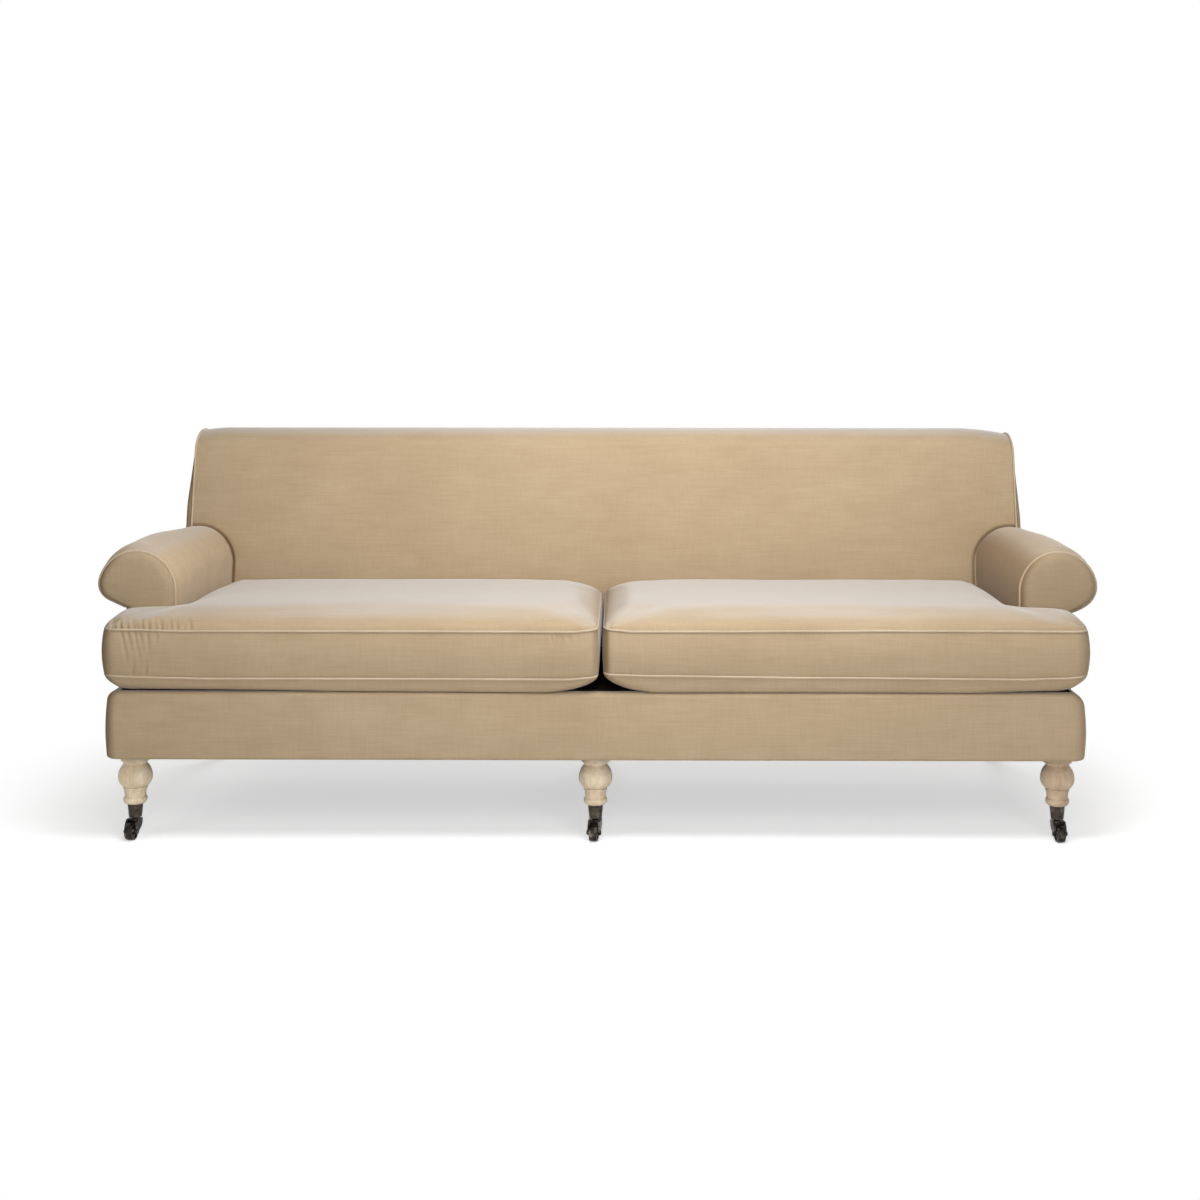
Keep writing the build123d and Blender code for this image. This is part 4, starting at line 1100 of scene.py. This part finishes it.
def makeArm(side, make):
    way = ways[side]
    # the cover ends behind the top of the outside panel
    ends = armOutline(side, 0.0, make) + [(arm["outside"] - make["seamInset"], outsideHigh.z - 0.012)]
    outline = evenly(ends, make["around"])
    middle = arm["middle"]
    centre = (middle, arm["top"] - make["rollDrop"])
    backSide = sideHigh.x + 0.0015
    front, rear = arm["front"] - 0.0005, arm["rear"]
    nipStart, nipEnd = insideBack(arm["foot"]) - 0.03, insideBack(arm["top"]) + 0.01
    rows = []
    for y in cellLine((front, front + 0.03, nipStart, nipEnd, rear), (0.005, 0.016, 0.006, 0.018)):
        share = (y - front) / (rear - front)
        row = []
        for x, z in outline:
            high = ease((z - arm["foot"]) / (arm["top"] - arm["foot"]))
            lift = make["lengthCrown"] * arch(min(share / 0.8, 1.0))
            lift += make["rearRise"] * ease(share / 0.6)
            nip = make["nip"] * bell(max(insideBack(z) - 0.004 - y, 0.0), make["nipReach"])
            pull = make["cordPull"] * bell(y - front, make["cordPullReach"]) + nip
            away = np.array((x - centre[0], z - centre[1]))
            away /= max(np.linalg.norm(away), 0.02)
            waveSize, waveScale = make["wave"]
            wave = waveSize * ripple((x * 2, y, z), waveScale, make["seed"][side])
            wave *= ease((y - front) / make["fullReach"])
            outer = ease((x - middle + 0.03) / 0.06)
            swell = make["fullFront"][side] * ease((y - front - 0.003) / make["fullReach"]) * outer
            swell *= 1 - ease((share - 0.25) / 0.4)
            out = wave + swell - pull
            x2 = x + away[0] * out
            z2 = z + lift * high + away[1] * out * high
            if y > insideBack(z) + 0.012:
                x2 = max(x2, backSide)
            row.append((way * x2, y, z2))
        rows.append(row)
    last = np.array(rows[-1])
    hub = np.array((way * centre[0], rear, centre[1]))
    # the rear end is closed
    for share, out in ((0.97, 0.002), (0.88, 0.0035), (0.6, 0.005), (0.3, 0.006), (0.02, 0.006)):
        rows.append(hub + (last - hub) * np.array((share, 1, share)) + np.array((0, out, 0)))
    # the cover gets its copy of the velvet with painted light and shade
    padOn(f"{side}_arm_cover", rows, paintedLightVelvets[f"{side}_cover"], f"{side}_arm_pad")
    makeArmPanel(side, way, make)


def panelFolds(side, way):
    # puckers in the lower outer corner of a facing
    folds = []
    reach = 0.024 if side == "right" else 0.016
    for n in range(5):
        x, z = 1.062 + 0.008 * n, arm["top"] - 0.123 + 0.0045 * n
        spot = (way * x, panelLow.y, z - armMake["stuffing"][side])
        folds.append((spot, (spot[0] - way * 0.010, spot[1] - 0.004, spot[2] + reach), 0.0042, 0.0014))
    return folds


def makeArmPanel(side, way, make):
    # the padded facing: rings shrink from the cord to the middle of the roll and of the stem
    cordInset = make["cordRadius"]
    outer = evenly(armOutline(side, cordInset, make), 130)
    stem = arm["outside"] - 0.010
    down = [(stem, z) for z in np.linspace(outer[-1][1] - 0.004, arm["foot"], 16)]
    along = [(x, arm["foot"]) for x in np.linspace(stem, arm["inside"] + cordInset, 10)][1:-1]
    loop = evenly(np.vstack([outer, down, along]), make["panelAround"], True)
    stemX = (arm["inside"] + arm["outside"]) / 2
    rollX, rollZ = arm["middle"], arm["top"] - make["rollDrop"]
    face = panelLow.y + 0.004
    rings = []
    for share in np.linspace(1, 0, make["panelRings"]) ** 0.8:
        ring = []
        for x, z in loop:
            high = ease((z - (rollZ - 0.11)) / 0.09)
            spine = np.array((stemX + (rollX - stemX) * high, min(max(z, arm["foot"] + 0.04), rollZ)))
            reach = np.linalg.norm(np.array((x, z)) - spine)
            swell = make["panelDome"] * quarterRound((1 - share) * reach / make["panelRim"]) ** 0.9
            swell += 0.004 * (1 - share ** 2)
            x2, z2 = spine + (np.array((x, z)) - spine) * share
            ring.append((way * x2, face - swell, z2))
        rings.append(ring)
    # the facing gets its copy of the velvet with painted light and shade
    panel = skin(f"{side}_arm_facing", rings, paintedLightVelvets[f"{side}_facing"], True)
    mergeClose(panel, 2e-4)
    faceOutwards(panel)
    lookTo(panel, (0, -1, 0))
    drawFolds(panel, panelFolds(side, way))
    seatOn(panel, "sofa", "velvet", f"{side}_arm_front_panel")
    path = [(way * x, face - 0.0005, z) for x, z in armOutline(side, 0.0022, make)]
    cord = cordAlong(f"{side}_arm_cord", path, make["cordRadius"])
    seatOn(cord, "sofa", "piping", f"{side}_arm_piping")


for side in ways:
    makeArm(side, armMake)
print("arms made")


# Back

backMake = {
    "crown": 0.016,  # how far the middle stands out
    "bow": 0.004,  # how far the sides stand out
    "rollHigh": 0.050,  # rise of the rounded top above the face
    "rollDeep": 0.076,  # face to the highest place of the top
    "cornerDrop": {"left": 0.006, "right": 0.0145},
    "cornerReach": {"left": 0.070, "right": 0.140},
    "sideSwell": {"left": 0.017, "right": 0.013},  # the side panels bulge past their cords
    "swellTop": {"left": 0.020, "right": 0.050},
    "armGrooves": ((0.010, 0.005), (0.002, 0.018)),  # the cover is drawn in round the arms: depth, reach
    "waves": ((0.0012, 3.0, 2.6), (0.0005, 9.0, 4.4)),  # height, scale and seed of its unevenness
    "sideRows": (0.0, 0.012, 0.03, 0.055, 0.09, 0.16, 0.28, 0.42, 0.56, 0.70, 0.85, 1.0),
    "cell": 0.018,
    "fineCell": 0.0045,  # beside the arms
    "rollRows": 14,
    "rearInset": 0.0005,  # the covers end this far inside the outside back
    "outsideColumns": 60,
    "outsideRows": 24,
    "outsidePuff": 0.003,
    "cordRadius": 0.0030,
}
outsideLean = math.tan(math.radians(5))  # lean of the outside back
backLevels = (backLow.z, arm["top"] - 0.20, arm["top"] + 0.03, backHigh.z - backMake["rollHigh"])
backShares = cellLine(backLevels, (0.012, backMake["fineCell"], 0.012))
backShares = (backShares - backShares[0]) / (backShares[-1] - backShares[0])


def outsideBack(z):
    return rearHigh.y + (z - rearHigh.z) * outsideLean


def backProfile(share, make):
    # one slice of the back from the seat up its face, over the top to the seam behind; share is -1 to 1
    side = "left" if share < 0 else "right"
    reach = make["cornerReach"][side]
    edge = max(0.0, abs(share) * backHigh.x - (backHigh.x - reach)) / reach
    drop = make["cornerDrop"][side] * edge ** 2
    bow = make["bow"] + (make["crown"] - make["bow"]) * (1 - share ** 2) + 0.002 * (1 - edge)
    top = backHigh.z - drop
    shoulder = top - make["rollHigh"]
    low = backLow.z
    line = []
    for t in backShares:
        z = low + (shoulder - low) * t
        line.append((insideBack(z) - bow * arch(0.06 + 0.94 * t) + 0.3 * drop * t, z))
    front = line[-1][0]
    for a in quarterTurn(make["rollRows"])[1:]:
        z = shoulder + make["rollHigh"] * math.sin(a)
        line.append((front + make["rollDeep"] * (1 - math.cos(a)) + (z - shoulder) * backLean, z))
    crest, rearSeam = line[-1][0], rearHigh.z
    rear = outsideBack(rearSeam) - make["rearInset"]
    for a in quarterTurn(make["rollRows"])[1:]:
        fall = rearSeam + (top - rearSeam) * math.cos(a) ** 0.75
        line.append((crest + (rear - crest) * math.sin(a) ** 0.9, fall))
    return line


def nearArm(side, x, z, outlines):
    # distance from a place on the back to the outline of the arm in front of it
    spots = outlines[side]
    return float(np.hypot(spots[:, 0] - abs(x), spots[:, 1] - z).min())


def makeBack(make):
    half = backHigh.x
    outlines = {side: evenly(armOutline(side, 0.0, armMake), 300) for side in ways}
    wing = arm["inside"] - 0.04
    rows = []
    for x in cellLine((-half, -wing, wing, half), (make["fineCell"], make["cell"], make["fineCell"])):
        share = x / half
        side = "left" if x < 0 else "right"
        row = []
        for number, (y, z) in enumerate(backProfile(share, make)):
            wave = sum(size * ripple((x, y, z), scale, seed) for size, scale, seed in make["waves"])
            if number < len(backShares) and abs(x) > wing - 0.02:
                apart = nearArm(side, x, z, outlines)
                wave += sum(deep * bell(apart, wide) for deep, wide in make["armGrooves"])
            row.append((x, y + wave, z))
        rows.append(row)
    padOn("back_cover", rows, velvet, "back_pad", (0, -1, 0))
    for side, way in ways.items():
        makeBackSide(side, way, make)
    makeOutsideBack(make)


def makeBackSide(side, way, make):
    half = backHigh.x
    line = backProfile(way, make)
    crest = len(backShares) + make["rollRows"] - 2
    behindZ, behindY = zip(*[(z, y) for y, z in line[:crest - 1:-1]])
    rows = []
    for t in make["sideRows"]:
        row = []
        for number, (y, z) in enumerate(line):
            if number >= crest:
                rear = y
            elif z > rearHigh.z:
                rear = max(y, np.interp(z, behindZ, behindY))
            else:
                rear = outsideBack(z) - make["rearInset"]
            fade = np.clip((backHigh.z - make["swellTop"][side] - z) / 0.17, 0, 1)
            fade *= ease((z - arm["top"] + 0.10) / 0.06)
            swell = make["sideSwell"][side] * quarterRound(t / 0.08) * (1 - ease((t - 0.4) / 0.6)) * fade
            out = half + 0.0045 * ease(t / 0.02) + swell
            row.append((way * out, y + 0.001 + (rear - y) * t, z - 0.001 * ease(t / 0.02)))
        rows.append(row)
    padOn(f"{side}_back_side", rows, velvet, f"{side}_back_side_panel", (way, 0, 0))
    start = next(k for k, (y, z) in enumerate(line) if z > arm["top"] - 0.05)
    path = [(way * (half + 0.003), y - 0.0015, z + 0.0005) for y, z in line[start:]]
    cord = cordAlong(f"{side}_back_cord", path, make["cordRadius"])
    seatOn(cord, "sofa", "piping", f"{side}_back_piping")


def makeOutsideBack(make):
    rows = []
    for x in np.linspace(-rearHigh.x, rearHigh.x, make["outsideColumns"]):
        row = []
        for z in np.linspace(rearLow.z, rearHigh.z, make["outsideRows"]):
            puff = make["outsidePuff"] * arch((z - rearLow.z) / (rearHigh.z - rearLow.z))
            puff *= 1 - (x / rearHigh.x) ** 4
            row.append((x, outsideBack(z) - 0.001 + puff, z))
        rows.append(row)
    padOn("outside_back_cover", rows, velvet, "outside_back_panel", (0, 1, 0), False)


makeBack(backMake)
print("back made")


# Front border, outside panels, deck and dust cover

borderMake = {
    "corner": 0.030,
    "topEdge": 0.012,
    "sideTopEdge": {"left": 0.022, "right": 0.035},
    "turn": 0.045,  # the top edge widens over this length
    "footEdge": 0.008,
    "swell": 0.003,
    "lip": 0.020,
    "wave": 0.0008,  # unevenness of the face
    "waveScale": 4.0,
    "seed": 6.3,
    "flatEdge": 0.004,
}


def makeBorder(make):
    halfX, faceY, rearY = borderHigh.x, borderLow.y, borderHigh.y
    top, foot = borderHigh.z, borderLow.z
    corner, rim = make["corner"], make["footEdge"]
    path = [(-halfX, y) for y in np.linspace(rearY, faceY + corner, 14)]
    arc, _ = tangentArc((-halfX, faceY + corner), (0, -1), (-halfX + corner, faceY), 14)
    path += arc[1:]
    path += [(x, faceY) for x in np.linspace(-halfX + corner, halfX - corner, 150)[1:]]
    arc, _ = tangentArc((halfX - corner, faceY), (1, 0), (halfX, faceY + corner), 14)
    path += arc[1:]
    path += [(halfX, y) for y in np.linspace(faceY + corner, rearY, 14)[1:]]
    outward = rightOf(unitRows(np.gradient(np.array(path), axis=0)))
    rows = []
    for (x, y), way in zip(path, outward):
        side = ease((abs(x) - (halfX - make["turn"])) / make["turn"])
        sideEdge = make["sideTopEdge"]["left" if x < 0 else "right"]
        edge = make["topEdge"] + (sideEdge - make["topEdge"]) * side
        profile = [(-make["lip"], foot + 0.0005)]
        for a in quarterTurn(7):
            profile.append((-rim * (1 - math.sin(a)), foot + rim * (1 - math.cos(a))))
        for t in np.linspace(0, 1, 12)[1:-1]:
            z = foot + rim + (top - edge - foot - rim) * t
            profile.append((make["swell"] * arch(t), z))
        for a in quarterTurn(8):
            profile.append((-edge * (1 - math.cos(a)), top - edge * (1 - math.sin(a))))
        profile.append((-make["lip"] - 0.012, top - 0.0005))
        row = []
        for out, z in profile:
            if out > -make["flatEdge"]:
                out += make["wave"] * ripple((x, y, z), make["waveScale"], make["seed"])
            row.append((x + way[0] * out, y + way[1] * out, z))
        rows.append(row)
    # the border gets its copy of the velvet with painted light and shade
    padOn("front_border_cover", rows, paintedLightVelvets["border"], "front_border", (0, -1, 0))


outsideMake = {
    "rows": 26,
    "columns": 44,
    "puff": 0.003,
    "footEdge": 0.004,  # drawn in along the foot
    "turnedIn": (0.018, 0.010, 0.004),  # the cloth turns in behind the front panel of the arm
}


def makeOutside(side, way, make):
    rows = []
    for z in np.linspace(outsideLow.z, outsideHigh.z, make["rows"]):
        rise = (z - outsideLow.z) / (outsideHigh.z - outsideLow.z)
        edge = make["footEdge"] * (1 - quarterRound(rise / 0.03))
        row = [(way * (outsideHigh.x - back), outsideLow.y + 0.0005, z) for back in make["turnedIn"]]
        for t in np.linspace(0, 1, make["columns"]):
            y = outsideLow.y + (outsideBack(z) - outsideLow.y) * t
            puff = make["puff"] * arch(rise) * arch(t)
            row.append((way * (outsideHigh.x + puff - edge), y + 0.003 * (t == 0), z))
        rows.append(row)
    padOn(f"{side}_outside_cover", rows, velvet, f"{side}_outside_panel", (way, 0, 0), False)


deckMake = {
    "rows": 50,
    "columns": 90,
    "armGap": 0.003,
    "endGap": 0.018,
    "sunk": 0.0004,
    "wave": (0.0003, 9.0, 1.2),  # height, scale and seed of its unevenness
}


def makeDeck(make):
    wingBack, narrow = panelLow.y - make["armGap"], arm["inside"] - make["armGap"]
    size, scale, seed = make["wave"]
    level = deckHigh.z - make["sunk"]
    rows = []
    for y in np.linspace(deckLow.y, deckHigh.y, make["rows"]):
        reach = deckHigh.x - make["endGap"] if y < wingBack else narrow
        across = np.linspace(-reach, reach, make["columns"])
        rows.append([(x, y, level + size * ripple((x, y, 0), scale, seed)) for x in across])
    padOn("deck_cloth", rows, blackCloth, "seat_deck", (0, 0, 1), False, "black_cloth")


dustMake = {"rows": 40, "columns": 80, "sag": 0.004, "lift": 0.0006}


def makeDustCover(make):
    low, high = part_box("dust_cover")
    size = high - low
    rows = []
    for v in np.linspace(0, 1, make["rows"]):
        row = []
        for u in np.linspace(0, 1, make["columns"]):
            sag = make["sag"] * arch(u) * arch(v)
            row.append((low.x + size.x * u, low.y + size.y * v, low.z + make["lift"] - sag))
        rows.append(row)
    cover = skin("dust_cloth", rows, blackCloth)
    lookTo(cover, (0, 0, -1))
    seatOn(cover, "sofa", "black_cloth", "dust_cover")


makeBorder(borderMake)
for side, way in ways.items():
    makeOutside(side, way, outsideMake)
makeDeck(deckMake)
makeDustCover(dustMake)
print("base dressed")


# Turned legs, casters and the frame inside keep their CAD shapes and get their finishes

finishOf = {
    "leg": limedOaks["center"],
    "left_front_leg": limedOaks["left"],
    "right_front_leg": limedOaks["right"],
    "caster": blackBronze,
    "caster_cup": agedBronze,
    **dict.fromkeys(("rail", "board", "posts", "stretchers", "blocks"), frameTimber),
    **dict.fromkeys(("springs", "clips", "bolts"), springSteel),
    "webbing": juteWebbing,
    "glides": nylonGlide,
}
for name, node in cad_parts.items():
    if node.hide_render:
        continue
    for word, finish in finishOf.items():
        if word in name:
            node.data.materials.clear()
            node.data.materials.append(finish)
print("wood and metal finished")


# Sizes for comparison with the frame

newLow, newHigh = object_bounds()
for label, before, after in (("low", cadLow, newLow), ("high", cadHigh, newHigh)):
    print("box", label, "moved by", [round((b - a) * 1000, 1) for a, b in zip(before, after)], "mm")
